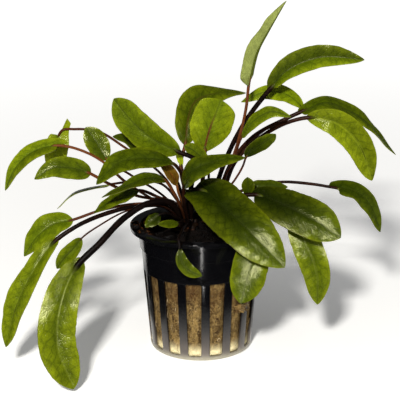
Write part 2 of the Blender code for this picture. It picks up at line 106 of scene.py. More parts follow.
def place_node(tree, kind, inputs=None, **settings):
    node = tree.nodes.new(kind)
    for name, value in settings.items():
        setattr(node, name, value)
    for key, value in (inputs or {}).items():
        feed(tree, node.inputs[key], value)
    return node


def stand_in_studio(name, corners, faces, plain, fading, near, far, most):
    """A part of the studio, plain but for one input that fades over a distance from the pot's foot."""
    finish = bpy.data.materials.new(name)
    finish.use_nodes = True
    tree = finish.node_tree
    place = place_node(tree, "ShaderNodeTexCoord").outputs["Object"]
    distance = place_node(tree, "ShaderNodeVectorMath", {0: place}, operation="LENGTH").outputs["Value"]
    fade = place_node(tree, "ShaderNodeMapRange", {
        "Value": distance, "From Min": near, "From Max": far, "To Max": most})
    for key, value in {**plain, fading: fade}.items():
        feed(tree, tree.nodes["Principled BSDF"].inputs[key], value)
    mesh = bpy.data.meshes.new(name)
    mesh.from_pydata(corners, [], faces)
    mesh.materials.append(finish)
    return put_in_scene(name, mesh)


towards_plant = (FRONT_LAMP - AIM).to_track_quat("Z", "Y").to_matrix().to_4x4()
hang_lamp("front_lamp", FRONT_LAMP, towards_plant, 0.1, 0.1, 16.5)
hang_lamp("strip_lamp", STRIP_LAMP, Matrix.Rotation(math.pi, 4, "X"), 0.002, 0.1, 0.016)

sky = bpy.data.worlds.new("sky")
sky.use_nodes = True
tree = sky.node_tree
direction = place_node(tree, "ShaderNodeTexCoord").outputs["Generated"]
looking = place_node(tree, "ShaderNodeSeparateXYZ", {0: direction})
in_front = place_node(tree, "ShaderNodeMapRange", {
    "Value": looking.outputs["Y"], "From Min": 0.25, "From Max": -0.35, "To Min": 0.04, "To Max": 0.24})
feed(tree, tree.nodes["Background"].inputs["Color"], (1.0, 1.0, 1.0))
feed(tree, tree.nodes["Background"].inputs["Strength"], in_front)
bpy.context.scene.world = sky

# Painted glow: the floor glows, more the further it lies from the pot's foot.
floor = stand_in_studio(
    "floor", [(x * FLOOR_REACH, y * FLOOR_REACH, FLOOR_Z) for x, y in ((-1, -1), (1, -1), (1, 1), (-1, 1))],
    [(0, 1, 2, 3)],
    {"Base Color": (0.88, 0.88, 0.87), "Roughness": 0.8, "Specular IOR Level": 0.1,
     "Emission Color": (1, 1, 1)},
    "Emission Strength", -0.15, 0.8, 0.9)
turns = [CARD_TURN * (2 * k / CARD_PARTS - 1) for k in range(CARD_PARTS + 1)]
card = stand_in_studio(
    "black_card",
    [(r * math.sin(a), -r * math.cos(a), CARD_Z) for a in turns for r in (CARD_INNER, CARD_OUTER)],
    [(2 * k, 2 * k + 1, 2 * k + 3, 2 * k + 2) for k in range(CARD_PARTS)],
    {"Roughness": 1.0, "Specular IOR Level": 0.0}, "Base Color", 0.06, 0.045, 0.85)
card.visible_camera = False
card.visible_diffuse = False
card.visible_shadow = False


# Net pot: injection-moulded glossy black polypropylene in one piece, with a thin flange, a plain collar and
# fifteen ribs between a solid upper wall and the foot ring. Handling has left it faintly dusty. Towards the
# foot it is painted paler, a painted glow of the bright floor, palest on the foot ring.
RIM_TOP, FLANGE_REACH, FLANGE_THICKNESS = 50.0, 27.5, 1.3
FOOT_RADIUS, TOP_RADIUS, WALL, POT_FLOOR, POT_SIDES = 20.1, 24.0, 1.0, 1.2, 180
COLLAR_FOOT, COLLAR_STEP = 41.5, 0.5
SLOT_COUNT, FIRST_SLOT, SLOT_FOOT, SLOT_HEAD = 15, -7.3, 1.7, 32.5
RIB_WIDTH, RIB_FLARE, FLARE_HEIGHT, RIB_ROUNDING = 3.3, 0.6, 0.8, 0.22
RIB_HEIGHTS = [1.0, 1.7, 1.9, 2.1, 2.4, 3.0, 8, 14, 20, 26, 31.2, 31.8, 32.1, 32.3, 32.5, 33.2]


class Figure:
    """A number, place or direction that a node tree works out, so that a rule reads as a sum."""

    def __init__(self, tree, socket):
        self.tree = tree
        self.socket = socket

    def step(self, operation, *terms):
        return work_out(operation, self, *terms)

    def __add__(self, other):
        return self.step("ADD", other)

    def __radd__(self, other):
        return self.step("ADD", other)

    def __sub__(self, other):
        return self.step("SUBTRACT", other)

    def __rsub__(self, other):
        return work_out("SUBTRACT", other, self)

    def __mul__(self, other):
        return self.step("SCALE" if self.socket.type == "VECTOR" else "MULTIPLY", other)

    def __truediv__(self, other):
        return self.step("DIVIDE", other)

    def __pow__(self, other):
        return self.step("POWER", other)

    def rise(self, low, high):
        """0 below low and 1 above high, with a smooth step between."""
        return figure_from(
            self.tree, "ShaderNodeMapRange", {0: self, 1: low, 2: high}, interpolation_type="SMOOTHSTEP")

    def clamped(self):
        return self.step("MAXIMUM", 0.0).step("MINIMUM", 1.0)

    def parts(self):
        split = place_node(self.tree, "ShaderNodeSeparateXYZ", {0: self})
        return [Figure(self.tree, part) for part in split.outputs]


def tree_of(*terms):
    return next(term.tree for term in terms if isinstance(term, Figure))


def figure_from(tree, kind, inputs=None, output=0, **settings):
    """What a new node of a tree works out."""
    return Figure(tree, place_node(tree, kind, inputs, **settings).outputs[output])


def work_out(operation, *terms):
    """One step of arithmetic in a node tree, in space where any term is a place or a direction."""
    in_space = any(
        isinstance(term, (tuple, Vector)) or isinstance(term, Figure) and term.socket.type == "VECTOR"
        for term in terms)
    tree = tree_of(*terms)
    node = place_node(tree, "ShaderNodeVectorMath" if in_space else "ShaderNodeMath", operation=operation)
    sockets = [node.inputs[0], node.inputs["Scale"]] if operation == "SCALE" else list(node.inputs)
    for socket, term in zip(sockets, terms):
        feed(tree, socket, term)
    return Figure(tree, node.outputs[1 if operation in ("DOT_PRODUCT", "LENGTH") else 0])


def gather(x, y, z):
    """A place put together from three numbers."""
    return figure_from(tree_of(x, y, z), "ShaderNodeCombineXYZ", {0: x, 1: y, 2: z})


def blotches(place, scale, detail=3.0, roughness=0.5):
    """Soft irregular patches, about 0.5 on average, sized in patches per unit of the place given."""
    return figure_from(place.tree, "ShaderNodeTexNoise", {
        "Vector": place, "Scale": scale, "Detail": detail, "Roughness": roughness})


def tint(share, first, second, manner="MIX"):
    """first where share is 0, second where it is 1, and a blend of the two between."""
    return figure_from(tree_of(share, first, second), "ShaderNodeMix", {0: share, 6: first, 7: second}, 2,
                       data_type="RGBA", blend_type=manner)


def new_finish(name):
    """An empty material, and the place on the piece that its patterns are laid out by."""
    finish = bpy.data.materials.new(name)
    finish.use_nodes = True
    return finish, figure_from(finish.node_tree, "ShaderNodeTexCoord", output="Object")


def coat(finish, colour, roughness, specular=0.5, grain=None, depth=0.0):
    """Gives a finish its colour, roughness and reflectance, and fine relief of a depth in metres."""
    tree = finish.node_tree
    shader = tree.nodes["Principled BSDF"]
    feed(tree, shader.inputs["Base Color"], colour)
    feed(tree, shader.inputs["Roughness"], roughness)
    feed(tree, shader.inputs["Specular IOR Level"], specular)
    if grain:
        relief = place_node(tree, "ShaderNodeBump", {"Height": grain, "Strength": 1.0, "Distance": depth})
        feed(tree, shader.inputs["Normal"], relief)
    return finish


def pot_finish():
    black, dusty = (0.0015, 0.0015, 0.002), (0.16, 0.15, 0.13)
    floor_glow_grey, foot_glow_pale = (0.26, 0.22, 0.19), (0.5, 0.47, 0.34)
    finish, place = new_finish("black_pot_plastic")
    height = place.parts()[2] / MM
    dust = blotches(place, 420, 5.0, 0.7).rise(0.52, 0.72)
    bloom = blotches(place, 90).rise(0.45, 0.75) * 0.6 + height.rise(38, 50) * 0.25
    # Painted floor glow: below the tops of the slots the pot is painted paler, most of all near the foot.
    painted_floor_glow = height.rise(32.0, 0.0) ** 5 * (blotches(place, 160, 4.0) + 0.45)
    # Painted floor glow: the lowest few millimetres of the pot are painted pale.
    painted_foot_glow = height.rise(4.5, -1.0) ** 2 * (blotches(place, 260, 4.0) * 0.8 + 0.6)
    colour = tint((dust * bloom * 0.04).clamped(), black, dusty)
    colour = tint((painted_floor_glow * 0.42).clamped(), colour, floor_glow_grey)
    colour = tint((painted_foot_glow * 0.9).clamped(), colour, foot_glow_pale)
    return coat(finish, colour, blotches(place, 300, 4.0) * 0.12 + 0.1 + dust * bloom * 0.2,
                grain=blotches(place, 700) + blotches(place, 120, 2.0) * 2.0, depth=0.000035)


def wall_radius(height):
    return FOOT_RADIUS + (TOP_RADIUS - FOOT_RADIUS) * height / RIM_TOP


def off_axis(radius, turn, height):
    """A point at a radius and height in millimetres, turned to the right from the pot's front."""
    return radius * math.sin(turn) * MM, -radius * math.cos(turn) * MM, height * MM


def soften(corners, radius, closed=True, steps=3):
    """The same outline with each corner drawn as a small arc, as a mould leaves it."""
    outline = []
    count = len(corners)
    for k, corner in enumerate(corners):
        here = Vector(corner)
        if not closed and k in (0, count - 1):
            outline.append(here)
            continue
        before = Vector(corners[k - 1]) - here
        after = Vector(corners[(k + 1) % count]) - here
        reach = min(radius, before.length * 0.45, after.length * 0.45)
        start = here + before.normalized() * reach
        end = here + after.normalized() * reach
        for step in range(steps + 1):
            share = step / steps
            outline.append(start * (1 - share) ** 2 + here * 2 * share * (1 - share) + end * share ** 2)
    return outline


def skin(bm, rings, closed=False, capped=False):
    """Faces from each ring of points to the next. A ring of one point is a pole."""
    sides = max(len(ring) for ring in rings)
    for low, high in zip(rings, rings[1:] + (rings[:1] if closed else [])):
        for k in range(sides):
            n = (k + 1) % sides
            corners = [low[k % len(low)], low[n % len(low)], high[n % len(high)], high[k % len(high)]]
            bm.faces.new(list(dict.fromkeys(corners)))
    if capped:
        bm.faces.new(rings[0])
        bm.faces.new(rings[-1])


def turn_outline(bm, outline, closed=True):
    """Turns an outline of (radius, height) round the pot's axis. An open one starts and ends on the axis."""
    turns = [2 * math.pi * k / POT_SIDES for k in range(POT_SIDES)]
    skin(bm, [
        [bm.verts.new(off_axis(radius, turn, height)) for turn in (turns if radius else turns[:1])]
        for radius, height in outline], closed)


def finish_mesh(name, bm, finish, sharp_from=180):
    """Turns drawn faces into a piece, facing outwards, smooth but for edges over an angle in degrees."""
    bmesh.ops.recalc_face_normals(bm, faces=bm.faces)
    mesh = bpy.data.meshes.new(name)
    bm.to_mesh(mesh)
    bm.free()
    mesh.materials.append(finish)
    mesh.shade_smooth()
    mesh.set_sharp_from_angle(angle=math.radians(sharp_from))
    return put_in_scene(name, mesh)


def start_rule(name, **inputs):
    """A node tree that makes a piece: its named inputs are listed by kind, and come back by name."""
    tree = bpy.data.node_groups.new(name, "GeometryNodeTree")
    for kind, names in inputs.items():
        for given in names:
            tree.interface.new_socket(name=given, in_out="INPUT", socket_type="NodeSocket" + kind)
    tree.interface.new_socket(name="Made", in_out="OUTPUT", socket_type="NodeSocketGeometry")
    entry = place_node(tree, "NodeGroupInput")
    return tree, {socket.name: Figure(tree, socket) for socket in entry.outputs if socket.name}


def join(tree, *pieces):
    joined = place_node(tree, "GeometryNodeJoinGeometry")
    for piece in pieces:
        feed(tree, joined.inputs[0], piece)
    return joined


def coated(tree, piece, finish):
    return place_node(tree, "GeometryNodeSetMaterial", {"Geometry": piece, "Material": finish})


def end_rule(tree, piece, finish=None):
    """Makes what a node tree drew plain geometry, in one finish unless its parts already have theirs."""
    real = place_node(tree, "GeometryNodeRealizeInstances", {0: piece})
    feed(tree, place_node(tree, "NodeGroupOutput").inputs[0], coated(tree, real, finish) if finish else real)
    return tree


def follow_rule(piece, tree, **values):
    """Makes a piece's plain mesh by a node tree. Underscores join the words of an input's name."""
    modifier = piece.modifiers.new("rule", "NODES")
    modifier.node_group = tree
    for item in tree.interface.items_tree:
        key = item.name.replace(" ", "_")
        if item.in_out == "INPUT" and key in values:
            value = values[key]
            if item.socket_type == "NodeSocketFloat":
                value = float(value)
            elif item.socket_type == "NodeSocketVector":
                value = [float(part) for part in value]
            modifier[item.identifier] = value
    graph = bpy.context.evaluated_depsgraph_get()
    made = bpy.data.meshes.new_from_object(piece.evaluated_get(graph))
    piece.modifiers.clear()
    piece.data = made
    made.name = piece.name


pot_plastic = pot_finish()
under_flange = RIM_TOP - FLANGE_THICKNESS
bm = bmesh.new()
turn_outline(bm, soften([
    (wall_radius(SLOT_HEAD), SLOT_HEAD),
    (wall_radius(COLLAR_FOOT) - 0.1, COLLAR_FOOT - 0.02),
    (wall_radius(COLLAR_FOOT) + COLLAR_STEP, COLLAR_FOOT),
    (wall_radius(under_flange) + COLLAR_STEP, under_flange),
    (FLANGE_REACH, under_flange),
    (FLANGE_REACH, RIM_TOP),
    (wall_radius(RIM_TOP) - WALL + COLLAR_STEP, RIM_TOP),
    (wall_radius(COLLAR_FOOT) - WALL, COLLAR_FOOT - 0.6),
    (wall_radius(SLOT_HEAD) - WALL, SLOT_HEAD),
], 0.06))
turn_outline(bm, soften([
    (0, 0),
    (FOOT_RADIUS - 0.6, 0),
    (wall_radius(0.6), 0.6),
    (wall_radius(SLOT_FOOT), SLOT_FOOT),
    (wall_radius(SLOT_FOOT) - WALL, SLOT_FOOT),
    (wall_radius(POT_FLOOR) - WALL, POT_FLOOR),
    (0, POT_FLOOR),
], 0.25, closed=False), closed=False)
pot = finish_mesh("pot_body", bm, pot_plastic, 35)

bm = bmesh.new()
levels = []
for height in RIB_HEIGHTS:
    to_end = max(0.0, min(height - SLOT_FOOT, SLOT_HEAD - height))
    half = RIB_WIDTH / 2 + RIB_FLARE * max(0.0, 1 - to_end / FLARE_HEIGHT) ** 2
    reach = wall_radius(height)
    section = soften([(-half, 0), (half, 0), (half, -WALL), (-half, -WALL)], RIB_ROUNDING)
    levels.append([
        bm.verts.new(off_axis(reach + depth, across / reach, height)) for across, depth in section])
skin(bm, levels, capped=True)
rib = finish_mesh("pot_rib", bm, pot_plastic, 35)

tree, given = start_rule("ribs_round_the_pot", Geometry=["Pot"], Object=["Rib"], Int=["Count"],
                         Float=["First angle"], Material=["Finish"])
starts = place_node(tree, "GeometryNodeMeshLine", {0: given["Count"], 2: (0, 0, 0), 3: (0, 0, 0)})
turn = figure_from(tree, "GeometryNodeInputIndex") * (2 * math.pi) / given["Count"] + given["First angle"]
one_rib = place_node(tree, "GeometryNodeObjectInfo", {"Object": given["Rib"]}).outputs["Geometry"]
ring = place_node(tree, "GeometryNodeInstanceOnPoints", {
    "Points": starts, "Instance": one_rib, "Rotation": gather(0, 0, turn)})
end_rule(tree, join(tree, ring, given["Pot"]), given["Finish"])
follow_rule(pot, tree, Rib=rib, Count=SLOT_COUNT, Finish=pot_plastic,
            First_angle=math.radians(FIRST_SLOT + 180 / SLOT_COUNT))
bpy.data.objects.remove(rib)
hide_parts("net_pot")
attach(pot, "root")


# Rockwool: a plug of spun mineral fibre cut to the pot and pressed in until it bulges a little at the slots.
# It is golden straw where it is clean, brown where soil and algae have soaked in, and nearly black on top.
# Towards the foot it is painted pale, a painted glow of light from the bright floor.
WOOL_FOOT, WOOL_TOP, WOOL_SIDES, WOOL_BULGE = 1.5, 47.0, 288, 0.55
FOOT_RINGS, SIDE_ROWS, TOP_RINGS = (6.0, 12.0, 17.0), 62, 26


def wool_finish():
    brown, straw = (0.035, 0.018, 0.005), (0.2, 0.13, 0.042)
    golden, strand_shade = (0.4, 0.29, 0.13), (0.03, 0.015, 0.004)
    soaked_brown, painted_floor_light = (0.045, 0.017, 0.003), (0.95, 0.84, 0.5)
    finish, place = new_finish("stained_rockwool")
    x, y, z = place.parts()
    height = z / MM
    patch = blotches(gather(x, y, z * 0.45), 420, 5.0, 0.7)
    speck = blotches(place, 1500, 4.0, 0.7)
    strand = blotches(gather(x, y, z * 0.6), 1300, 3.0, 0.6)
    colour = tint(patch.rise(0.4, 0.6), brown, straw)
    colour = tint(speck.rise(0.5, 0.66) * 0.6, colour, golden)
    # Painted shade: the wool is painted darker where its strand pattern sinks, between the strands.
    colour = tint(strand.rise(0.52, 0.36) * 0.5, colour, strand_shade)
    soaked = height.rise(8, 34) * blotches(place, 140).rise(0.38, 0.6)
    colour = tint(soaked * 0.75, colour, soaked_brown)
    # Painted floor light: the wool is painted pale towards the foot.
    colour = tint(height.rise(8.5, 1.5) ** 1.5, colour, painted_floor_light)
    # The top few millimetres of the wool are made nearly black.
    near_black_top = tint(speck, (0.001, 0.0006, 0.0004), (0.006, 0.003, 0.002))
    colour = tint(height.rise(43.5, 45.5), colour, near_black_top)
    return coat(finish, colour, speck * 0.3 + 0.6, 0.1, strand + speck, 0.0004)


def ruffle(place, size, seed):
    """Unevenness at a place in millimetres, from about -1 to 1, over a distance of about size."""
    return noise.noise(Vector(place) / size + Vector((seed, 3.7 * seed, -1.9 * seed)))


wool_colour = wool_finish()
bm = bmesh.new()
rows = [(0.0, WOOL_FOOT)] + [(r, WOOL_FOOT) for r in FOOT_RINGS]
sides_from, sides_to = len(rows), len(rows) + SIDE_ROWS
rows += [(wall_radius(h) - WALL - 0.3, h) for h in np.linspace(WOOL_FOOT, WOOL_TOP - 1.5, SIDE_ROWS)]
rows += [(r, WOOL_TOP - 0.5 * (r > 20)) for r in np.linspace(21.2, 1.2, TOP_RINGS)] + [(0.0, WOOL_TOP)]
rings = []
for j, (radius, height) in enumerate(rows):
    ring = []
    for k in range(WOOL_SIDES if radius else 1):
        turn = 2 * math.pi * k / WOOL_SIDES
        place = (radius * math.sin(turn), -radius * math.cos(turn), height)
        rough = ruffle(place, 2.6, 1) * 0.45 + ruffle(place, 0.9, 2) * 0.28
        reach, lift = radius, 0.0
        if sides_from <= j < sides_to:
            slot_turns = (turn - math.radians(FIRST_SLOT)) / (2 * math.pi / SLOT_COUNT)
            off_centre = abs(slot_turns - round(slot_turns)) * 2
            open_share = max(0.0, 1 - (off_centre / 0.62) ** 4)
            in_slot = max(0.0, min(1.0, (SLOT_HEAD - 0.5 - height) / 1.5, (height - SLOT_FOOT) / 1.0))
            reach = radius + (WOOL_BULGE + rough) * open_share * in_slot - 0.1
        elif height > WOOL_TOP - 2:
            lift = rough * 1.5 + ruffle(place, 7, 3) * 1.2
        ring.append(bm.verts.new(off_axis(reach, turn, height + lift)))
    rings.append(ring)
skin(bm, rings)
wool = finish_mesh("rockwool_plug", bm, wool_colour)


def strewing_rule():
    """Pieces of one shape strewn over a surface, each turned at random about the surface's own direction."""
    tree, given = start_rule(
        "strewn_over_a_surface", Geometry=["Surface"], Object=["Piece"], Int=["Seed"], Material=["Finish"],
        Float=["Pieces per square metre", "Smallest", "Largest", "Lowest place", "Highest place"])
    height = figure_from(tree, "GeometryNodeInputPosition").parts()[2]
    above = height.step("GREATER_THAN", given["Lowest place"])
    below = height.step("LESS_THAN", given["Highest place"])
    spread = place_node(tree, "GeometryNodeDistributePointsOnFaces", {
        "Mesh": given["Surface"], "Density": given["Pieces per square metre"] * (above * below),
        "Seed": given["Seed"]})
    spin = place_node(tree, "FunctionNodeRandomValue", {2: 0.0, 3: 2 * math.pi, 8: given["Seed"]}).outputs[1]
    about = place_node(tree, "FunctionNodeAxisAngleToRotation", {"Axis": (0, 0, 1), "Angle": spin})
    turned = place_node(tree, "FunctionNodeRotateRotation", {
        "Rotation": spread.outputs["Rotation"], "Rotate By": about}, rotation_space="LOCAL")
    size = place_node(tree, "FunctionNodeRandomValue", {
        2: given["Smallest"], 3: given["Largest"], 8: given["Seed"] + 1}).outputs[1]
    one = place_node(tree, "GeometryNodeObjectInfo", {"Object": given["Piece"]}).outputs["Geometry"]
    laid = place_node(tree, "GeometryNodeInstanceOnPoints", {
        "Points": spread, "Instance": one, "Rotation": turned, "Scale": size})
    return end_rule(tree, laid, given["Finish"])


def strew(name, surface, shape, **sizes):
    """A piece made of one shape, used up by it, strewn over the surface of another piece."""
    piece = put_in_scene(name, surface.data.copy())
    follow_rule(piece, strewing, Piece=shape, **sizes)
    bpy.data.objects.remove(shape)
    return piece


def draw_strand(bm, points, radii, sides=3):
    """A thin closed strand through points in millimetres, in an existing mesh."""
    points = [Vector(point) for point in points]
    rings = []
    for k, point in enumerate(points):
        along = (points[min(k + 1, len(points) - 1)] - points[max(k - 1, 0)]).normalized()
        first = along.cross(Vector((0.13, 0.31, 0.94))).normalized()
        second = along.cross(first)
        rings.append([
            bm.verts.new((point + (first * math.cos(a) + second * math.sin(a)) * radii[k]) * MM)
            for a in (2 * math.pi * j / sides for j in range(sides))])
    skin(bm, rings, capped=True)


def fibre_finish():
    brown, straw, painted_floor_light = (0.06, 0.03, 0.008), (0.3, 0.19, 0.06), (0.95, 0.84, 0.52)
    finish, place = new_finish("rockwool_fibre")
    height = place.parts()[2] / MM
    colour = tint(blotches(place, 300).rise(0.35, 0.65), brown, straw)
    # Painted floor light: the fibres are painted pale towards the foot.
    colour = tint(height.rise(8.0, 2.0) * 0.8, colour, painted_floor_light)
    colour = tint(height.rise(16, 30) * 0.5, colour, brown)
    return coat(finish, colour, blotches(place, 900) * 0.3 + 0.4, 0.15)


fibre_colour = fibre_finish()
strewing = strewing_rule()
bm = bmesh.new()
draw_strand(
    bm, [(-2.0, 0.3, -0.12), (-1.0, -0.15, 0.1), (0.2, -0.2, 0.14), (1.1, 0.1, 0.08), (2.0, 0.5, -0.12)],
    [0.03, 0.05, 0.055, 0.05, 0.03])
one_fibre = finish_mesh("one_fibre", bm, fibre_colour)
fibres = strew(
    "rockwool_fibres", wool, one_fibre, Pieces_per_square_metre=900000, Smallest=0.35, Largest=1.25,
    Lowest_place=0.0018, Highest_place=0.033, Seed=4, Finish=fibre_colour)
for piece in (wool, fibres):
    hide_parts("rockwool")
    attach(piece, "root")


# Soil and roots: dark crumbs caught on top of the wool and on the rim at the left, fine pale roots that have
# grown out between the ribs, and a torn tuft of wool over the rib at the right.
LUMPS = [  # centre and size
    ((-23.6, -6.5, 49.2), (2.4, 2.0, 1.7)), ((-25.2, -3.6, 50.9), (1.8, 1.7, 1.3)),
    ((-22.0, -10.5, 49.4), (2.0, 1.8, 1.4)), ((-24.8, -7.8, 51.3), (1.5, 1.3, 1.1)),
    ((-19.0, -13.0, 48.6), (2.3, 1.9, 1.5)), ((-14.5, -16.0, 47.8), (2.2, 1.8, 1.3)),
    ((-20.5, -5.5, 48.2), (2.4, 2.2, 1.9)), ((-9.0, -18.5, 47.4), (2.0, 1.5, 1.1)),
    ((-12.0, -11.0, 48.0), (2.6, 2.0, 1.6)), ((-17.5, 2.0, 48.0), (2.3, 2.0, 1.7)),
    ((8.0, -14.0, 47.5), (2.4, 1.9, 1.4)), ((14.0, -8.0, 47.7), (2.6, 2.1, 1.6)),
    ((-21.0, 6.0, 48.3), (1.9, 2.2, 1.5)), ((3.0, 14.0, 47.6), (2.6, 2.0, 1.5)),
    ((14.0, 10.0, 47.8), (2.2, 2.0, 1.5)), ((-8.0, 12.0, 47.7), (2.5, 2.1, 1.5)),
]
RIGHT_ROOTS, LEFT_ROOTS, LOOP_PARTS, TUFT_STRANDS = 16, 14, 9, 26


def soil_finish():
    finish, place = new_finish("dark_soil")
    patch = blotches(place, 500, 4.0, 0.6)
    at_left = place.parts()[0].rise(-0.017, -0.023)
    rust = blotches(place, 480, 2.0).rise(0.52, 0.62) * at_left * 0.8
    colour = tint(patch, (0.0004, 0.0003, 0.0002), (0.002, 0.0012, 0.0008))
    colour = tint(rust, colour, (0.13, 0.045, 0.012))
    return coat(finish, colour, patch * 0.4 + 0.3, 0.06, blotches(place, 2500), 0.0002)


def draw_lump(bm, centre, size, seed, finer=2):
    """An uneven rounded lump, centre and size in millimetres."""
    for vertex in bmesh.ops.create_icosphere(bm, subdivisions=finer, radius=1.0)["verts"]:
        swell = 1 + 0.45 * noise.noise(vertex.co * 1.1 + Vector((seed, 0, 0))) \
            + 0.22 * noise.noise(vertex.co * 2.7 + Vector((0, seed, 0)))
        vertex.co = Vector([(c + v * s * swell) * MM for c, v, s in zip(centre, vertex.co, size)])


def scattered(k, step=0.618):
    """The k-th of many shares from 0 to 1 that lie evenly without falling in order."""
    return (k * step) % 1


def around(angle, height, out):
    """A place by the pot's wall: degrees to the right of the front, then height and reach in millimetres."""
    radius = wall_radius(height) + out
    return Vector((radius * math.sin(math.radians(angle)), -radius * math.cos(math.radians(angle)), height))


def root_finish():
    finish, place = new_finish("pale_root")
    patch = blotches(place, 700)
    return coat(finish, tint(patch.rise(0.3, 0.7), (0.16, 0.09, 0.03), (0.5, 0.38, 0.2)), patch * 0.3 + 0.35)


soil_colour = soil_finish()
bm = bmesh.new()
draw_lump(bm, (0, 0, 0.2), (0.9, 0.75, 0.6), 5, 1)
one_crumb = finish_mesh("one_crumb", bm, soil_colour)
crumbs = strew(
    "soil_crumbs", wool, one_crumb, Pieces_per_square_metre=420000, Smallest=0.35, Largest=1.15,
    Lowest_place=0.0452, Highest_place=0.052, Seed=9, Finish=soil_colour)

bm = bmesh.new()
for k, (centre, size) in enumerate(LUMPS):
    draw_lump(bm, centre, size, k * 3.1, 3)
lumps = finish_mesh("soil_lumps", bm, soil_colour)

bm = bmesh.new()
for k in range(RIGHT_ROOTS):
    start = 39.0 + 10.0 * scattered(k)
    height = 20.8 + 1.4 * math.sin(k * 2.3)
    draw_strand(bm, [
        around(start, height, -1.2),
        around(start + 3.5, height + 0.5 * math.sin(k), 0.1),
        around(start + 8.0, height - 0.4 + 0.6 * math.sin(k * 1.7), 0.35 + 0.3 * math.sin(k * 3.1) ** 2),
        around(start + 12.5, height - 1.2 + 0.7 * math.sin(k * 2.9), 0.15),
        around(start + 15.5, height - 2.0 + 0.9 * math.sin(k * 0.9), -0.9),
    ], [0.03, 0.06, 0.07, 0.06, 0.03], 4)
for k in range(LOOP_PARTS):
    turn = 2 * math.pi * k / LOOP_PARTS
    beyond = 2 * math.pi * (k + 1) / LOOP_PARTS
    draw_strand(bm, [
        around(19.6 + 1.7 * math.cos(a), 8.6 + 0.62 * math.sin(a), -0.25)
        for a in (turn, (turn + beyond) / 2, beyond)
    ], [0.13] * 3, 5)
for k in range(LEFT_ROOTS):
    angle = -58 + 3.1 * k + 5 * math.sin(k * 4.1)
    height = 6 + 22 * scattered(k, 0.381)
    draw_strand(bm, [
        around(angle, height, -1.0),
        around(angle + 1.5, height - 1.2, -0.2),
        around(angle + 0.6, height - 3.0, -0.15),
        around(angle + 2.0 * math.sin(k), height - 4.6, -1.0),
    ], [0.08, 0.1, 0.09, 0.04], 4)
roots = finish_mesh("fine_roots", bm, root_finish())

bm = bmesh.new()
for k in range(TUFT_STRANDS):
    start = 37.0 + 13.0 * scattered(k)
    height = 21.2 - 3.4 * scattered(k, 0.754) ** 2
    draw_strand(bm, [
        around(start, height, -1.1),
        around(start + 3.0, height + 0.5 * math.sin(k), -0.15),
        around(start + 6.5, height - 0.5 + 0.4 * math.sin(k * 1.7), 0.1 + 0.15 * math.sin(k * 3.1)),
        around(start + 9.5, height - 1.1 + 0.6 * math.sin(k * 2.9), -1.0),
    ], [0.15, 0.3, 0.28, 0.12], 5)
tuft = finish_mesh("torn_wool", bm, fibre_colour)
for piece in (crumbs, lumps, roots, tuft):
    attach(piece, "root")


# Rhizomes: two short, knobbly rootstocks half sunk in the wool, dark brown and scaly with the sheaths of old
# leaves. Every living leaf rises from one of them.
RHIZOMES = {"rhizome_left": (-6.3, 0.6, 4.9), "rhizome_right": (5.9, 5.4, 4.6)}
RHIZOME_Z, RHIZOME_HEIGHT, SHEATHS, SHEATH_FOOT_Z = 48.3, 2.1, 9, 48.6


def bark_finish():
    finish, place = new_finish("rhizome_bark")
    x, y, z = place.parts()
    patch = blotches(place, 380, 4.0, 0.6)
    scales = blotches(gather(x, y, z * 3), 500)
    colour = tint(patch, (0.0015, 0.0008, 0.0005), (0.012, 0.005, 0.002))
    colour = tint(scales.rise(0.58, 0.7) * 0.4, colour, (0.1, 0.03, 0.01))
    return coat(finish, colour, patch * 0.35 + 0.35, 0.1, scales + patch, 0.0004)


bark = bark_finish()
for seed, (node, (x, y, radius)) in enumerate(RHIZOMES.items()):
    bm = bmesh.new()
    draw_lump(bm, (x, y, RHIZOME_Z), (radius * 0.95, radius * 0.9, RHIZOME_HEIGHT), 11 + seed, 5)
    for k in range(SHEATHS):
        turn = k * 2.4 + seed
        reach = radius * (0.35 + 0.45 * scattered(k))
        foot = Vector((x + reach * math.cos(turn), y + reach * math.sin(turn), SHEATH_FOOT_Z))
        lean = Vector((math.cos(turn) * 0.5, math.sin(turn) * 0.5, 1.0))
        tall = 2.0 + 1.8 * scattered(k, 0.754)
        draw_strand(bm, [foot, foot + lean * tall * 0.5, foot + lean * tall + Vector((0.3, 0.2, 0))],
                    [1.25, 1.0, 0.45], 7)
    rootstock = finish_mesh(node + "_bark", bm, bark, 50)
    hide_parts(node)
    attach(rootstock, "root")


# Leaves: each blade is one soft, quilted sheet on a long wiry stalk that runs on under it as the midrib. The
# margin waves, the two halves fold up from the rib, and side veins sweep towards the tip between puckers.
BLADE_THICKNESS, GROOVE_DEPTH, ROD_SIDES, CREASE = 0.25, 0.08, 8, 1.1
NARROWEST, JOIN_WITHIN = 0.00008, 0.000004  # in metres
LEAF_FOOT_Z, LEAF_FOOT_RADIUS, FOOT_RISE, LINE_STEPS, WAVES = 49.6, 0.42, 1.6, 10, 2.5


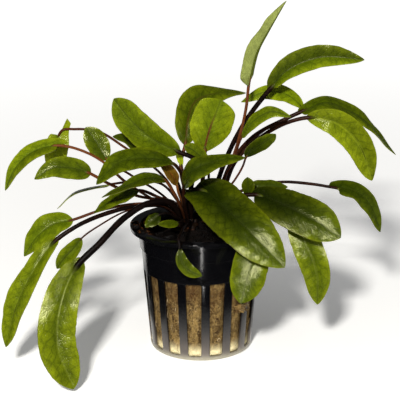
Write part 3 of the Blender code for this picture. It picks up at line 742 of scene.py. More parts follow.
def leaf_rule():
    tree, size = start_rule(
        "leaf_along_its_rib", Geometry=["Rib line"], Int=["Rows", "Columns"],
        Vector=["Facing at base", "Facing at tip"], Material=["Blade finish", "Stalk finish"],
        Float=["Blade starts", "Blade length", "Half width", "Fold", "Widest", "Base bluntness",
               "Tip bluntness", "First lobe", "Second lobe", "Foot radius", "Stalk radius", "Curl",
               "Wave height", "Waves", "Pucker height", "Vein spacing", "Groove depth", "Thickness", "Seed",
               "Tone", "Yellowness", "Stain", "Red rib", "Second side brighter", "Stalk length"])
    rib_line = place_node(tree, "GeometryNodeMeshToCurve", {0: size["Rib line"]})

    def across_the_rib(t, along):
        """The way the upper side faces and the way to the blade's second edge, at t of the blade's length."""
        turned = t.rise(0.1, 0.95)
        face = size["Facing at base"] * (1 - turned) + size["Facing at tip"] * turned
        face = (face - along * face.step("DOT_PRODUCT", along)).step("NORMALIZE")
        return face, along.step("CROSS_PRODUCT", face)

    def mark(piece, name, value):
        """Writes a figure on every point of the leaf, for its finish to read."""
        return place_node(tree, "GeometryNodeStoreNamedAttribute", {
            "Geometry": piece, "Name": name, "Value": value}, data_type="FLOAT", domain="POINT")

    # The flat sheet, and where each of its points lies: t along the blade, s from one edge to the other.
    sheet = place_node(tree, "GeometryNodeMeshGrid", {0: 1.0, 1: 1.0, 2: size["Rows"], 3: size["Columns"]})
    x, y = figure_from(tree, "GeometryNodeInputPosition").parts()[:2]
    straight = x + 0.5
    t = straight * 0.6 + (0.5 - (straight * math.pi).step("COSINE") * 0.5) * 0.4
    u = y * -2.0
    s = u * (u * u * 0.25 + 0.75)
    out = s.step("ABSOLUTE")
    hand = s.step("SIGN")
    on_rib = place_node(tree, "GeometryNodeSampleCurve", {
        "Curves": rib_line, "Factor": size["Blade starts"] + t * (1 - size["Blade starts"])}, mode="FACTOR")
    centre = Figure(tree, on_rib.outputs["Position"])
    along = Figure(tree, on_rib.outputs["Tangent"]).step("NORMALIZE")
    face, side = across_the_rib(t, along)

    # The outline: blunt or drawn out at either end, with an uneven, finely crimped margin.
    before_widest = (1 - t / size["Widest"]).clamped()
    past_widest = ((t - size["Widest"]) / (1 - size["Widest"])).clamped()
    outline = (1 - before_widest ** 2.2) ** size["Base bluntness"] \
        * (1 - past_widest ** size["Tip bluntness"]) ** 0.8
    t_mm = t * size["Blade length"] / MM
    uneven = blotches(gather(t * 7, hand * 3, size["Seed"]), 1.0, 2.0)
    crimped = blotches(gather(t_mm * 0.5, hand * 3, size["Seed"] + 5), 1.0, 1.0)
    least = size["Stalk radius"] * (1 - t) + NARROWEST
    half = (size["Half width"] * outline * (uneven * 0.1 + crimped * 0.08 + 0.91)).step("MAXIMUM", least)
    reach = half * s
    reach_mm = half * out / MM

    # The relief: folded halves, a waving margin, cushions between the seams and a groove over the midrib.
    laid_flat = (t / 0.05).clamped()
    fold = size["Fold"] * laid_flat
    ends = (t * (1 - t) * 5).clamped()
    swing = blotches(gather(t * size["Waves"] * 0.8, hand * 2.3, size["Seed"]), 1.0, 2.0) * 7
    phase = t * size["Waves"] * (2 * math.pi) + swing + hand * 1.1 + size["Seed"]
    wave = phase.step("SINE") * size["Wave height"] * out ** 2.2 * ends
    slack = blotches(gather(t_mm * 0.09, reach_mm * hand * 0.09, size["Seed"]), 1.0, 2.0)
    veins = (t_mm - reach_mm * 0.9 - reach_mm * reach_mm * 0.03) / size["Vein spacing"] * MM \
        + hand * 0.2 + (slack - 0.5) * 2.2
    cell_row = t_mm / 3.6 + slack * 1.5
    cell_column = reach_mm * hand / 3.4 + slack
    cell = figure_from(tree, "ShaderNodeTexVoronoi", {
        "Vector": gather(cell_row, cell_column, size["Seed"]), "Scale": 1.0, "Randomness": 0.85}, "Distance",
        feature="SMOOTH_F1")
    cushion = (1 - cell / 0.75).clamped().rise(0.0, 1.0)
    clear_of_rib = reach_mm.rise(0.3, 1.8) * out.rise(1.0, 0.8) * ends
    pucker = cushion * slack * 2.0 * size["Pucker height"] * clear_of_rib
    groove = size["Groove depth"] * reach_mm.rise(1.3, 0.0) * (1 - t * 0.7) * laid_flat
    droop = size["Curl"] * reach * s * laid_flat
    warp = (slack - 0.5) * size["Wave height"] * 2.0 * ends
    lift = reach * hand * fold.step("SINE") - droop + wave + pucker - groove + warp
    lobe = size["Second lobe"] * s.step("GREATER_THAN", 0.0) + size["First lobe"] * s.step("LESS_THAN", 0.0)
    swept_back = (1 - t / 0.35).clamped() ** 2 * lobe * (s * s * (2 - s ** 4))
    marks = {"along": t, "across": s, "reach": reach_mm, "veins": veins, "quilt": cushion, "under": 0.0,
             "cell row": cell_row, "cell column": cell_column, "seed": size["Seed"]}
    for name, value in marks.items():
        sheet = mark(sheet, name, value)
    sheet = place_node(tree, "GeometryNodeSetPosition", {
        "Geometry": sheet,
        "Position": centre + side * (reach * fold.step("COSINE")) + face * lift - along * swept_back})
    grown = place_node(tree, "GeometryNodeExtrudeMesh", {
        "Mesh": sheet, "Offset": figure_from(tree, "GeometryNodeInputNormal") * -1.0,
        "Offset Scale": size["Thickness"], "Individual": False})
    back = place_node(tree, "GeometryNodeFlipFaces", {0: mark(grown, "under", grown.outputs["Top"])})
    blade = place_node(tree, "GeometryNodeMergeByDistance", {
        "Geometry": join(tree, back, sheet), "Distance": JOIN_WITHIN})

    # The stalk: thickest at the rhizome, uneven as it climbs, and thinning to the tip as the sunken midrib.
    share = figure_from(tree, "GeometryNodeSplineParameter", output="Factor")
    on_blade = (share - size["Blade starts"]) / (1 - size["Blade starts"])
    rib_face = across_the_rib(on_blade.clamped(), figure_from(tree, "GeometryNodeInputTangent"))[0]
    climbed = share * size["Stalk length"] / size["Blade starts"]
    knobbly = blotches(gather(climbed * 160, size["Seed"], 0.0), 1.0, 2.0) * 0.24 + 0.88
    thick = size["Foot radius"] + (size["Stalk radius"] - size["Foot radius"]) * climbed.rise(0.0, 0.008)
    thick = thick * knobbly * (1 - on_blade.clamped() * 0.82)
    sunk = (thick + size["Groove depth"] * (1 - on_blade * 0.7)) * on_blade.rise(-0.01, 0.07)
    line = mark(mark(rib_line, "along", on_blade), "climbed", climbed)
    line = place_node(tree, "GeometryNodeSetPosition", {"Geometry": line, "Offset": rib_face * (sunk * -1.0)})
    hoop = place_node(tree, "GeometryNodeCurvePrimitiveCircle", {"Resolution": ROD_SIDES, "Radius": 1.0})
    rod = place_node(tree, "GeometryNodeCurveToMesh", {
        "Curve": line, "Profile Curve": hoop, "Scale": thick, "Fill Caps": True})

    leaf = join(tree, coated(tree, rod, size["Stalk finish"]), coated(tree, blade, size["Blade finish"]))
    # Tone and second side brighter carry painted light as well as the leaf's colour, for the blade's finish.
    for name in ("Tone", "Yellowness", "Stain", "Red rib", "Second side brighter"):
        leaf = mark(leaf, name.lower(), size[name])
    leaf = place_node(tree, "GeometryNodeSetShadeSmooth", {
        "Geometry": leaf, "Shade Smooth": True}, domain="FACE")
    bend = figure_from(tree, "GeometryNodeInputMeshEdgeAngle", output="Unsigned Angle")
    creased = bend.step("GREATER_THAN", CREASE)
    leaf = place_node(tree, "GeometryNodeSetShadeSmooth", {
        "Geometry": leaf, "Selection": creased, "Shade Smooth": False}, domain="EDGE")
    return end_rule(tree, leaf)


def read_marks(finish, *names):
    tree = finish.node_tree
    return [figure_from(tree, "ShaderNodeAttribute", output="Fac", attribute_name=name) for name in names]


def lit(colour, light):
    """A colour, darker where light is under 1 and lighter where it is over."""
    return tint(1.0, colour, gather(light, light, light), "MULTIPLY")


def blade_finish(name, body, deep, edge, back, line):
    """A leaf blade: its body, the deep band by the rib, which is partly its own dark centre and partly
    painted shade, its edge, its back and the line of the rib.
    """
    red, dry_margin = (0.05, 0.016, 0.004), (0.03, 0.02, 0.004)
    finish, place = new_finish(name)
    along, across, reach, veins, quilt, under, tone, yellow, red_rib, brighter, *cell = read_marks(
        finish, "along", "across", "reach", "veins", "quilt", "under", "tone", "yellowness", "red rib",
        "second side brighter", "cell row", "cell column", "seed")
    to_seam = figure_from(finish.node_tree, "ShaderNodeTexVoronoi", {
        "Vector": gather(*cell), "Scale": 1.0, "Randomness": 0.85}, "Distance", feature="DISTANCE_TO_EDGE")
    to_vein = (veins - veins.step("ROUND")).step("ABSOLUTE")
    out = across.step("ABSOLUTE")
    broad = blotches(place, 130)
    mottle = blotches(place, 620, 4.0, 0.6)
    fine = blotches(place, 2600, 3.0, 0.6)

    ripe = out * 0.6 + (broad - 0.5) * 0.15 + (mottle - 0.5) * 0.3 + yellow - 0.55 + (quilt - 0.45) * 0.25
    # Painted shade as well as the leaf's own dark centre: the deep band by the rib is broadest towards the
    # base and on the dark-toned leaves, whose upper parts turn away from the lamp.
    shade = reach.rise(7.5, 0.2) * (1 - along * 0.75) * (mottle * 0.5 + 0.75) * (1.6 - tone).clamped()
    vein = to_vein.rise(0.12, 0.02) * out.rise(1.0, 0.5) * reach.rise(0.2, 1.0)
    seam = to_seam.rise(0.14, 0.0) * out.rise(1.0, 0.8) * (1.9 - tone).clamped()
    colour = tint(ripe.rise(0.0, 1.0), body, edge)
    colour = tint(shade.clamped(), colour, deep)
    colour = tint(vein * 0.3, colour, deep)
    colour = tint(seam * 0.36, colour, deep)
    colour = tint(reach.rise(0.5, 0.1) * 0.6, colour, tint((yellow * 2 - 1.2).clamped(), line, edge))
    colour = tint(reach.rise(0.6, 0.2) * along.rise(0.8, 0.3) * red_rib, colour, red)
    colour = tint(out.rise(0.86, 0.96) * 0.3, colour, edge)
    colour = tint(out.rise(0.97, 0.995) * 0.6, colour, dry_margin)
    colour = tint(under * 0.75, colour, back)

    # Painted light as well as each leaf's own colour: tone darkens or lightens a leaf by how the lamp falls
    # on it, the dark-toned leaves are painted lighter towards the tip where the lamp's highlight lies, and
    # one half of the blade is painted lighter and the other darker by how the lamp falls on the two halves.
    depth = tone + (1 - tone).clamped() * along.rise(0.35, 0.95)
    depth = depth * ((across.rise(-0.06, 0.06) - 0.5) * brighter + 1)
    light = (mottle - 0.5) * 0.8 + (fine - 0.5) * 1.2 + (quilt - 0.45) * 0.2 + 1.0
    coat(finish, lit(colour, light * depth),
         mottle * 0.12 + fine * 0.12 + 0.08 + under * 0.2 + reach.rise(1.2, 0.2) * 0.1, 0.22,
         mottle * 0.9 + fine * 0.45 + to_vein.rise(0.0, 0.16) * 0.12, 0.00015)
    finish.node_tree.nodes["Principled BSDF"].inputs["Specular Tint"].default_value = (1.0, 1.0, 0.55, 1.0)
    return finish


def stalk_finish():
    """A leaf stalk: near black to orange brown by its stain, and green once it runs on as the rib."""
    black, brown = (0.0022, 0.0011, 0.0009), (0.055, 0.014, 0.004)
    orange, russet = (0.32, 0.11, 0.025), (0.16, 0.045, 0.012)
    finish, place = new_finish("leaf_stalk")
    along, climbed, stain = read_marks(finish, "along", "climbed", "stain")
    streak = blotches(place, 900, 3.0, 0.6)
    patch = blotches(place, 150)
    colour = tint(stain.rise(0.12, 0.55), black, brown)
    colour = tint(stain.rise(0.4, 1.0), colour, orange)
    colour = tint((patch * 0.9 + streak * 0.5).rise(0.6, 0.95) * 0.3 * (stain + 0.06), colour, russet)
    colour = tint(climbed.rise(0.022, 0.004) * 0.85, colour, (0.003, 0.0015, 0.001))
    colour = tint(along.rise(-0.02, 0.05), colour, (0.035, 0.045, 0.002))
    return coat(finish, lit(colour, (streak - 0.5) * 0.6 + 1.0), streak * 0.25 + 0.28, 0.06, streak, 0.0002)


def smooth_line(way):
    """A smooth line through the points, in LINE_STEPS from each to the next, bending as they are spaced."""
    way = np.array(way, float)
    points = np.vstack([2 * way[0] - way[1], way, 2 * way[-1] - way[-2]])
    line = []
    for k in range(1, len(points) - 2):
        before, start, end, after = points[k - 1:k + 3]
        span = np.linalg.norm(end - start)
        span_before = np.linalg.norm(start - before)
        span_after = np.linalg.norm(after - end)
        middle = (end - start) / span
        leave = (middle * span_before + (start - before) / span_before * span) / (span_before + span) * span
        arrive = ((after - end) / span_after * span + middle * span_after) / (span + span_after) * span
        for s in np.linspace(0, 1, LINE_STEPS, endpoint=False):
            line.append(
                (2 * s**3 - 3 * s**2 + 1) * start + (s**3 - 2 * s**2 + s) * leave
                + (3 * s**2 - 2 * s**3) * end + (s**3 - s**2) * arrive)
    return np.array(line + [way[-1]])


green_blade = blade_finish(
    "green_blade", body=(0.05, 0.07, 0.001), deep=(0.009, 0.018, 0.0004), edge=(0.105, 0.128, 0.002),
    back=(0.2, 0.23, 0.06), line=(0.016, 0.025, 0.001))
old_blade = blade_finish(
    "old_blade", body=(0.07, 0.045, 0.003), deep=(0.05, 0.012, 0.003), edge=(0.2, 0.1, 0.01),
    back=(0.2, 0.12, 0.04), line=(0.09, 0.02, 0.004))
leaf_stalk = stalk_finish()
growth = leaf_rule()
grown_leaves = []


def grow_leaf(node, foot, stalk, blade, half, face, thick=0.5, fold=8, widest=0.4, base=0.5, tip=2.2,
              lobes=(0.2, 0.2), tone=1.0, yellow=0.5, stain=0.3, red_rib=0.0, brighter=0.0, wave=0.3,
              pucker=0.13, curl=0.1, finish=green_blade):
    """One leaf in place of its node. Points and sizes are in millimetres, the fold in degrees. Its tone is
    partly its own colour and partly painted light, and brighter paints one half lighter and the other darker.
    """
    line = smooth_line([(*foot, LEAF_FOOT_Z), (*foot, LEAF_FOOT_Z + FOOT_RISE), *stalk, *blade])
    lengths = np.r_[0, np.cumsum(np.linalg.norm(np.diff(line, axis=0), axis=1))]
    stalk_length = lengths[LINE_STEPS * (2 + len(stalk))]
    blade_length = lengths[-1] - stalk_length
    breadth = min(1.0, half / 5)
    mesh = bpy.data.meshes.new(node + "_line")
    mesh.from_pydata([Vector(point) * MM for point in line], [(k, k + 1) for k in range(len(line) - 1)], [])
    leaf = put_in_scene(node + "_grown", mesh)
    follow_rule(
        leaf, growth, Rows=int(blade_length * 1.6) + 8, Columns=2 * int(half * 1.4) + 9,
        Blade_starts=stalk_length / lengths[-1], Blade_length=blade_length * MM,
        Stalk_length=stalk_length * MM, Half_width=half * MM, Fold=math.radians(fold), Widest=widest,
        Base_bluntness=base, Tip_bluntness=tip,
        First_lobe=lobes[0] * MM, Second_lobe=lobes[1] * MM, Facing_at_base=face[0], Facing_at_tip=face[1],
        Foot_radius=LEAF_FOOT_RADIUS * MM, Stalk_radius=thick * MM, Thickness=BLADE_THICKNESS * MM, Curl=curl,
        Wave_height=wave * MM * breadth, Waves=WAVES, Pucker_height=pucker * MM * min(1.0, half / 6),
        Vein_spacing=(2.6 + half * 0.15) * MM, Groove_depth=GROOVE_DEPTH * MM * breadth,
        Seed=len(grown_leaves) * 1.37, Tone=tone, Yellowness=yellow, Stain=stain, Red_rib=red_rib,
        Second_side_brighter=brighter, Blade_finish=finish, Stalk_finish=leaf_stalk)
    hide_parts(node)
    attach(leaf, "root")
    grown_leaves.append(leaf)


# Left, low: four leaves that reach out over the rim at the left on dark wiry stalks. Two of them trail down
# beside the pot almost to the floor.
grow_leaf(
    "leaf_front_left_trailing", foot=(-7.6, -2.9),
    stalk=[(-11, -5, 59.5), (-19, -10, 61.5), (-28, -16, 58), (-38, -25, 50)],
    blade=[(-46, -30, 43), (-51, -37, 33), (-53, -43, 18), (-47, -48, 1.8)], half=7.2, thick=1.25,
    face=[(0, -0.8, 0.6), (0.3, -0.9, 0.4)], fold=14, widest=0.5, base=0.4, tip=4.0, lobes=(3.0, 3.5),
    tone=1.1, yellow=0.9, stain=0.0)
grow_leaf(
    "leaf_left_trailing", foot=(-9.6, -1.1),
    stalk=[(-13, -3, 57.5), (-23, -7, 59.3), (-36, -13, 58.2), (-47, -19, 55)],
    blade=[(-55, -22, 50), (-62, -26, 41), (-69, -29, 28), (-74, -30, 11)], half=5.3, thick=0.9,
    face=[(-0.4, -0.7, 0.6), (-0.6, -0.8, 0.2)], fold=18, widest=0.55, base=0.42, tip=2.4, lobes=(2.0, 2.0),
    wave=0.45, tone=1.25, yellow=0.8, stain=0.15)
grow_leaf(
    "leaf_left_low", foot=(-9.7, 0.2), stalk=[(-13, -1, 57.5), (-24, -3, 59), (-38, -6, 57.5)],
    blade=[(-50, -8, 54), (-56, -9, 53), (-63, -11, 48), (-68, -12, 41)], half=5.8, thick=0.55,
    face=[(0.2, -0.6, 0.8), (-0.6, -0.5, 0.6)], fold=12, widest=0.45, lobes=(1, 1), tone=1.45, stain=0.45)
grow_leaf(
    "leaf_left_low_small", foot=(-8.6, -2.2),
    stalk=[(-13.5, -5.4, 58.3), (-26.5, -11.5, 59.3), (-37.5, -18, 55.5)],
    blade=[(-45, -22, 51), (-47.5, -23, 48), (-51, -24, 44.5), (-54, -25, 40.5)], half=3.2, thick=0.35,
    face=[(0.25, -0.9, 0.0), (0.25, -0.9, 0.0)], fold=12, widest=0.5, tip=2.4, lobes=(0.5, 0.5), tone=1.25,
    yellow=0.6)

# Left, further up: ten leaves that fan out behind the low ones, from narrow young blades to the broad one
# that stands over the crown. Their stalks run from near black to orange brown.
grow_leaf(
    "leaf_far_left", foot=(-7.8, 2.9),
    stalk=[(-14, 2.5, 56), (-29.5, 3, 66.5), (-38.5, 3, 75), (-43, 2, 78)],
    blade=[(-56, 1, 81.5), (-64, 0, 79.5), (-71, -1, 73.5), (-75.5, -2, 64.5)], half=4.2, thick=0.55,
    face=[(-0.2, -0.6, 0.8), (-0.6, -0.7, 0.5)], fold=12, widest=0.33, base=0.28, tip=2.0, lobes=(1, 5),
    wave=0.1, tone=1.4, brighter=0.4, yellow=0.6, stain=0.55)
grow_leaf(
    "leaf_far_left_behind", foot=(-6.0, 2.6),
    stalk=[(-9, 5, 58), (-12, 8, 63.5), (-30, 12, 78), (-40, 13, 84), (-49, 13, 85), (-54.2, 12.2, 84.6)],
    blade=[(-55.4, 12, 82.8), (-56, 11, 79), (-57, 10, 74), (-58, 9, 68)], half=4.6,
    face=[(0.1, -0.95, 0.0), (-0.1, -1, 0.0)], fold=10, widest=0.35, base=0.2, tip=2.4, lobes=(7, 0),
    tone=1.5, yellow=0.9, stain=0.4)
grow_leaf(
    "leaf_left_middle", foot=(-9.0, 1.6), stalk=[(-12, 1.3, 57), (-25, 0, 61.5), (-36, -2.5, 67.5)],
    blade=[(-43, -4, 72), (-50, -6, 74.5), (-56, -8, 75), (-63, -9, 71)], half=4.6, thick=0.6,
    face=[(0.3, -0.8, 0.5), (0.1, -0.7, 0.7)], widest=0.36, base=0.4, tip=1.9, lobes=(1.2, 1.2), tone=1.1,
    yellow=0.6, stain=0.5)
grow_leaf(
    "leaf_left_small_upright", foot=(-6.8, 3.9), stalk=[(-14, 6, 59), (-27.5, 7, 68)],
    blade=[(-36.5, 7, 74.5), (-38.5, 8, 77.5), (-41.5, 9, 82.5), (-44.5, 10, 86.5)], half=4.6,
    face=[(0.45, -0.9, -0.1), (0.45, -0.9, -0.2)], fold=14, widest=0.5, base=0.55, tip=2.4,
    lobes=(0.5, 0.5), tone=1.1, stain=0.5)
grow_leaf(
    "leaf_left_arching", foot=(-5.8, -0.2), stalk=[(-6.3, -0.8, 60), (-6.3, -2, 68.5)],
    blade=[(-10, -5, 75.5), (-19, -8, 78.5), (-30, -11, 78), (-39, -15, 70.5)], half=5.6, thick=0.7,
    face=[(0.3, -0.5, 0.8), (-0.5, -0.5, 0.7)], widest=0.55, base=0.8, tone=0.9, stain=0.2)
grow_leaf(
    "leaf_left_upper", foot=(-4.2, 0.2), stalk=[(-4.2, -0.5, 59.5), (-2.5, -1, 69.5), (-1.5, -1.5, 75.5)],
    blade=[(-8.5, -1.5, 79.5), (-18.5, 0, 84.5), (-27, 3.5, 91.5), (-33, 7, 98.5)], half=6.6, thick=0.9,
    face=[(-0.25, -1, -0.15), (-0.45, -0.9, 0.1)], fold=10, widest=0.45, base=0.55, tip=4.2, lobes=(1, 1),
    tone=1.25, yellow=0.45, stain=0.1)
grow_leaf(
    "leaf_left_upper_behind", foot=(-4.2, 3.8), stalk=[(-7, 7, 58), (-8.5, 10, 63), (-12.5, 13, 68)],
    blade=[(-16.5, 15, 71), (-22.5, 16, 76), (-28.5, 17, 80), (-34.5, 17, 81)], half=4.0, thick=0.6,
    face=[(0.5, -0.5, 0.7), (0.1, -0.5, 0.9)], widest=0.45, base=0.6, lobes=(0.5, 0.5), tone=0.65,
    yellow=0.4)
grow_leaf(
    "leaf_left_inner", foot=(-6.0, -1.6), stalk=[(-7.5, -4, 58), (-10.5, -6, 65)],
    blade=[(-13.5, -8, 70), (-19, -11, 72), (-27, -14, 70), (-37, -17, 66)], half=3.9, thick=0.6,
    face=[(0.4, -0.2, 0.9), (-0.4, -0.1, 0.9)], fold=4, base=0.36, tip=1.6, lobes=(0.5, 0.5), tone=0.95,
    brighter=0.5, stain=0.5)
grow_leaf(
    "leaf_left_inner_low", foot=(-7.5, -0.5), stalk=[(-9, 0.2, 57.5), (-15.5, -2, 61)],
    blade=[(-24, -5, 65), (-29, -7, 64), (-35, -9, 61.5), (-40.5, -11, 58)], half=4.0, thick=0.6,
    face=[(-0.1, -0.4, 0.9), (-0.4, -0.4, 0.8)], fold=4, base=0.6, tip=1.8, lobes=(0.5, 0.5), yellow=0.6)
grow_leaf(
    "leaf_left_narrow", foot=(-5.4, 4.4), stalk=[(-9, 7, 57), (-14.5, 9, 63), (-27.5, 11, 63.8)],
    blade=[(-36, 12, 62.5), (-43, 13, 61), (-50.5, 14, 58.5), (-57.5, 14, 52)], half=2.6,
    face=[(-0.2, 0.1, 1), (-0.7, 0, 0.7)], fold=2, base=0.7, tip=1.8, wave=0.1, tone=1.7, yellow=0.6,
    stain=0.35)

# Crown: the short leaves in the middle, among them an old one gone orange and a pale young one, two that lie
# in the pot's mouth, the round one and, behind it, the one that curls over.
grow_leaf(
    "leaf_old_orange", foot=(-7.0, 0.9), stalk=[(-7.2, 1.4, 58), (-8.5, 0, 63)],
    blade=[(-9, -1, 66), (-10, -2, 69), (-12, -3, 72), (-15, -4, 75)], half=2.9,
    face=[(0.7, -0.7, 0.1), (0.6, -0.6, 0.5)], fold=15, widest=0.5, base=0.6, tone=1.25, stain=0.7,
    finish=old_blade)
grow_leaf(
    "leaf_young_pale", foot=(-5.6, 1.2), stalk=[(-5.8, 2.0, 59), (-6.3, 2, 67)],
    blade=[(-7, 2, 73), (-7.5, 2, 75), (-8, 2, 77), (-8.5, 2, 79)], half=1.4, thick=0.4,
    face=[(-0.4, -0.9, 0), (-0.4, -0.9, 0)], fold=15, widest=0.5, base=0.6, tone=2.4, yellow=0.9)
grow_leaf(
    "leaf_mouth_left", foot=(-6.5, -3.5), stalk=[(-9.5, -6, 54.5), (-13.5, -7.5, 56.5)],
    blade=[(-16, -8.5, 56), (-17.5, -9.5, 54.8), (-19.5, -10.5, 53.5), (-21, -11.5, 52.2)], half=2.6,
    thick=0.4, face=[(-0.2, -0.8, 0.6), (-0.2, -0.8, 0.5)], tip=1.8, lobes=(0.5, 0.5), tone=0.45,
    yellow=0.6, stain=0.12)
grow_leaf(
    "leaf_mouth_left_small", foot=(-5.3, -3.1), stalk=[(-6, -6.5, 53.5)],
    blade=[(-8.5, -9, 53), (-11, -11, 53.3), (-13.5, -13, 53.9), (-16, -14.5, 54.4)], half=1.7, thick=0.4,
    face=[(0.3, -0.7, 0.6), (0.4, -0.7, 0.6)], base=0.6, tone=0.95, yellow=0.7, stain=0.12)
grow_leaf(
    "leaf_centre_arching", foot=(-4.7, -1.9), stalk=[(-5.8, -4.5, 58.5), (-6.3, -6.5, 64)],
    blade=[(-6, -8.5, 68.5), (-3, -11, 74), (6, -11, 78), (17.5, -9, 79)], half=5.0, thick=0.7,
    face=[(-0.9, -0.3, -0.1), (0.4, -0.3, 0.9)], fold=5, widest=0.3, tip=1.7, lobes=(1.5, 1.5), tone=0.75,
    stain=0.2)
grow_leaf(
    "leaf_centre_round", foot=(2.8, 6.6), stalk=[(1, 7, 61.5), (1.5, 7.5, 70)],
    blade=[(2, 7.5, 77.5), (4, 7, 86), (6.5, 7.5, 92.5), (8.5, 9, 97.3)], half=8.4, thick=0.9,
    face=[(0.15, -1, -0.1), (0.15, -1, -0.1)], fold=4, widest=0.52, base=0.75, tip=5.5, lobes=(0.8, 0.8),
    tone=1.5, yellow=0.65, stain=0.5, red_rib=1.0)
grow_leaf(
    "leaf_centre_back", foot=(-4.4, 2.3), stalk=[(-5.5, 5, 59), (-7.5, 8, 71.5)],
    blade=[(-5.5, 11, 79.7), (-4.5, 14, 88), (-1.5, 21, 94), (6.5, 27, 96), (19, 32, 95)], half=6.0,
    thick=0.7, face=[(0.15, -1, -0.25), (-0.2, -0.3, 0.9)], fold=4, tip=2.0, lobes=(0.8, 0.8), tone=1.05,
    yellow=0.7, stain=0.5, red_rib=0.6)
grow_leaf(
    "leaf_centre_small", foot=(3.5, 5.2), stalk=[(3, 3, 63), (3.5, 3, 69)],
    blade=[(3, 3, 73.2), (0, 3, 76.5), (-3, 3, 79), (-6, 3, 80.5)], half=3.4,
    face=[(0.4, -0.7, 0.5), (0.3, -0.7, 0.6)], widest=0.45, base=0.6, tip=2.6, tone=1.15, yellow=0.6)

# Upper right: the tall folded leaf, the long arching ones whose tips hang down on the right, and two small
# blades half hidden among their stalks.
grow_leaf(
    "leaf_top_upright", foot=(4.6, 6.6), stalk=[(8.3, 7.2, 62), (14.5, 6, 79.5), (18, 7, 93.5)],
    blade=[(19.5, 8, 105.5), (22, 9, 115.5), (27.5, 10, 125.5), (33.5, 12, 135)], half=4.6, thick=0.6,
    face=[(-0.95, 0.1, 0.1), (-0.85, 0.1, 0.5)], fold=74, widest=0.22, base=0.07, tip=2.0, lobes=(2.5, 2.5),
    tone=0.9, yellow=0.6, stain=0.5)
grow_leaf(
    "leaf_upper_right", foot=(5.4, 8.2), stalk=[(6.5, 10, 61), (11.5, 11, 75.5), (19, 9.5, 90)],
    blade=[(28, 8, 102.2), (33.5, 7, 108.6), (45.5, 6, 114), (63, 4, 113.5)], half=5.4, thick=1.0,
    face=[(-0.5, -0.75, 0.35), (0.1, -0.9, 0.42)], fold=30, base=0.42, tip=2.4, lobes=(1.6, -0.8),
    tone=1.15, brighter=0.7, yellow=0.55, stain=0.1)
grow_leaf(
    "leaf_right_small_arching", foot=(5.0, 4.6), stalk=[(8, 1, 65), (13, -3, 76.5)],
    blade=[(16, -7, 86.5), (20, -10, 93), (27, -13, 97.5), (34, -15, 96)], half=3.1,
    face=[(-0.8, -0.4, 0.4), (0.2, -0.7, 0.6)], fold=2, base=0.45, tip=1.8, tone=1.3, stain=0.4)
grow_leaf(
    "leaf_right_turned_back", foot=(7.0, 7.6),
    stalk=[(9.5, 9.5, 62), (14.5, 9, 73.5), (25, 8, 85), (36, 7, 91)],
    blade=[(39.5, 7, 94), (36, 9.5, 97.8), (27, 15, 99), (16.5, 17.5, 94.4)], half=3.6,
    face=[(0.5, -0.8, 0.5), (-0.4, -0.8, 0.5)], fold=2, widest=0.35, base=0.6, tip=1.8, tone=1.8)
grow_leaf(
    "leaf_right_long_tip", foot=(6.0, 5.4),
    stalk=[(8, 4.2, 62), (12.5, 4.5, 73.5), (21, 3.5, 84), (32.5, 3, 90.5)],
    blade=[(40, 3, 94), (48, 4, 97), (59.5, 6, 92.5), (77, 8, 75)], half=4.8, thick=0.8,
    face=[(-0.3, -0.4, 0.9), (0.8, -0.3, 0.6)], fold=6, widest=0.35, base=0.26, tip=1.6, lobes=(2, 1),
    tone=1.15, stain=0.25)
grow_leaf(
    "leaf_right_hanging", foot=(7.3, 5.2),
    stalk=[(9.5, 2.5, 62), (13.5, 1, 74), (25, 0, 85.5), (34, -1, 90.5)],
    blade=[(42, -2, 92.5), (52, -3, 90.5), (60.5, -1, 82.5), (67.5, 4, 65.5)], half=5.6, thick=0.8,
    face=[(0.42, -0.85, -0.02), (0.42, -0.9, -0.2)], fold=10, widest=0.45, tip=2.8, lobes=(1, 1), tone=1.25,
    brighter=0.3, yellow=1.05, stain=0.25)
grow_leaf(
    "leaf_right_small", foot=(6.4, 4.1), stalk=[(8.5, -1.5, 61.5), (13.5, -3.5, 68.5), (16.5, -4, 74)],
    blade=[(18, -4, 78), (20.5, -5, 81), (25, -5, 84), (29, -6, 87)], half=3.2, thick=0.4,
    face=[(0.3, -0.8, -0.2), (0.3, -0.8, -0.2)], widest=0.5, tip=3.0, lobes=(0.5, 0.5), tone=0.65,
    yellow=0.4, stain=0.4)

# Right and front: the broad leaves that arch over the rim towards the viewer and hang in front of the pot,
# and the long flat stalk that carries the far right one.
grow_leaf(
    "leaf_back_right", foot=(8.9, 5.6), stalk=[(10, 5.5, 56), (14, 5, 60)],
    blade=[(19, 5, 62.5), (24, 5, 63), (29, 5, 63), (34.5, 5, 63)], half=3.4,
    face=[(0.3, -0.6, 0.8), (0.3, -0.6, 0.8)], fold=12, tip=2.0, lobes=(0.8, 0.8), tone=0.8)
grow_leaf(
    "leaf_back_right_small", foot=(8.2, 4.0), stalk=[(9.5, 2.5, 56.5), (14.5, 1, 59.5)],
    blade=[(18, 0, 61.5), (18.7, 0, 63.5), (18.7, 0, 65.5), (18.5, 0, 68.5)], half=2.6, thick=0.4,
    face=[(-0.1, -1, 0), (0, -1, 0)], fold=10, widest=0.5, tone=0.8)
grow_leaf(
    "leaf_far_right", foot=(8.6, 7.0),
    stalk=[(11, 9, 56.5), (22, 11, 61.5), (31.5, 10, 63.5), (43.5, 9, 63)],
    blade=[(54, 8, 61.5), (61, 8, 60.5), (68, 8, 53.5), (72, 8, 43)], half=4.3, thick=0.6,
    face=[(0.1, -0.6, 0.8), (0.7, -0.7, 0.2)], widest=0.25, base=0.25, tip=3.2, lobes=(3.0, -1.0),
    tone=0.85, yellow=0.45, stain=0.2)
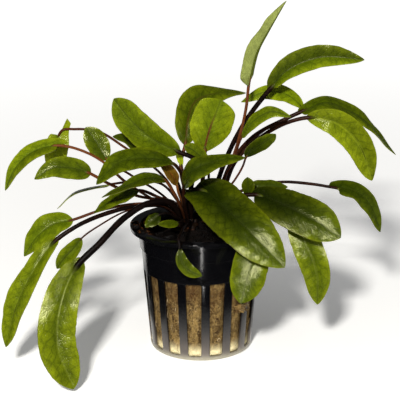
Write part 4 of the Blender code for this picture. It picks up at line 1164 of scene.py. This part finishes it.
grow_leaf(
    "leaf_right_large", foot=(5.5, 2.9), stalk=[(6.5, -2, 57.5), (13.5, -6.5, 62.5)],
    blade=[(22, -9, 64), (32, -15, 61.5), (42.5, -20, 57.5), (52.5, -24, 51.5)], half=8.2, thick=0.9,
    face=[(-0.2, -0.5, 0.9), (-0.1, -0.8, 0.5)], fold=3, widest=0.45, base=0.38, tip=3.2, lobes=(2.5, 1.0),
    pucker=0.24, tone=0.42, yellow=0.45, stain=0.2)
grow_leaf(
    "leaf_front_large", foot=(-3.4, -1.0), stalk=[(-3, -3.5, 60), (-2.5, -5, 65)],
    blade=[(0.5, -6.5, 65.5), (9.5, -17, 61), (18.5, -27, 55), (31, -34, 43.5)], half=9.6, thick=0.9,
    face=[(-0.3, -0.45, 0.95), (0.0, -0.88, 0.54)], fold=6, widest=0.36, base=0.27, tip=3.0, lobes=(3, 6),
    pucker=0.3, tone=0.46, stain=0.1)
grow_leaf(
    "leaf_front_right_hanging", foot=(7.0, 2.7), stalk=[(11.5, -3, 57), (25, -9, 58.5)],
    blade=[(35, -13, 54), (40, -17, 47), (44, -20, 37), (44.5, -22, 24)], half=5.8, thick=0.7,
    face=[(-0.2, -0.8, 0.5), (-0.3, -1, 0.1)], fold=12, widest=0.38, tip=3.0, lobes=(1, 1), tone=1.1,
    yellow=0.75, stain=0.2)
grow_leaf(
    "leaf_front_hanging", foot=(3.7, 3.0), stalk=[(3.8, -6, 56), (12, -15, 56)],
    blade=[(18.8, -22.5, 53), (19.5, -26.3, 48), (17.8, -30.6, 40.5), (14.8, -34.3, 29.6)], half=6.8,
    thick=0.8, face=[(-0.14, -0.9, 0.45), (-0.14, -0.95, 0.35)], fold=2, widest=0.42, tip=3.6, lobes=(1, 1),
    curl=0.2, pucker=0.2, tone=0.88, yellow=0.6, stain=0.2)
grow_leaf(
    "leaf_front_small", foot=(-3.8, -2.9), stalk=[(-6, -12, 52.5), (-7, -22, 53.5), (-8, -28.5, 52.5)],
    blade=[(-7.5, -30, 49.5), (-7, -31, 45.5), (-4.5, -31.5, 42), (0.5, -31.5, 39.5)], half=2.4,
    face=[(0, -1, 0.2), (0.1, -1, 0.2)], fold=6, widest=0.5, base=0.6, tip=2.4, tone=0.85, yellow=0.6,
    stain=0.0)
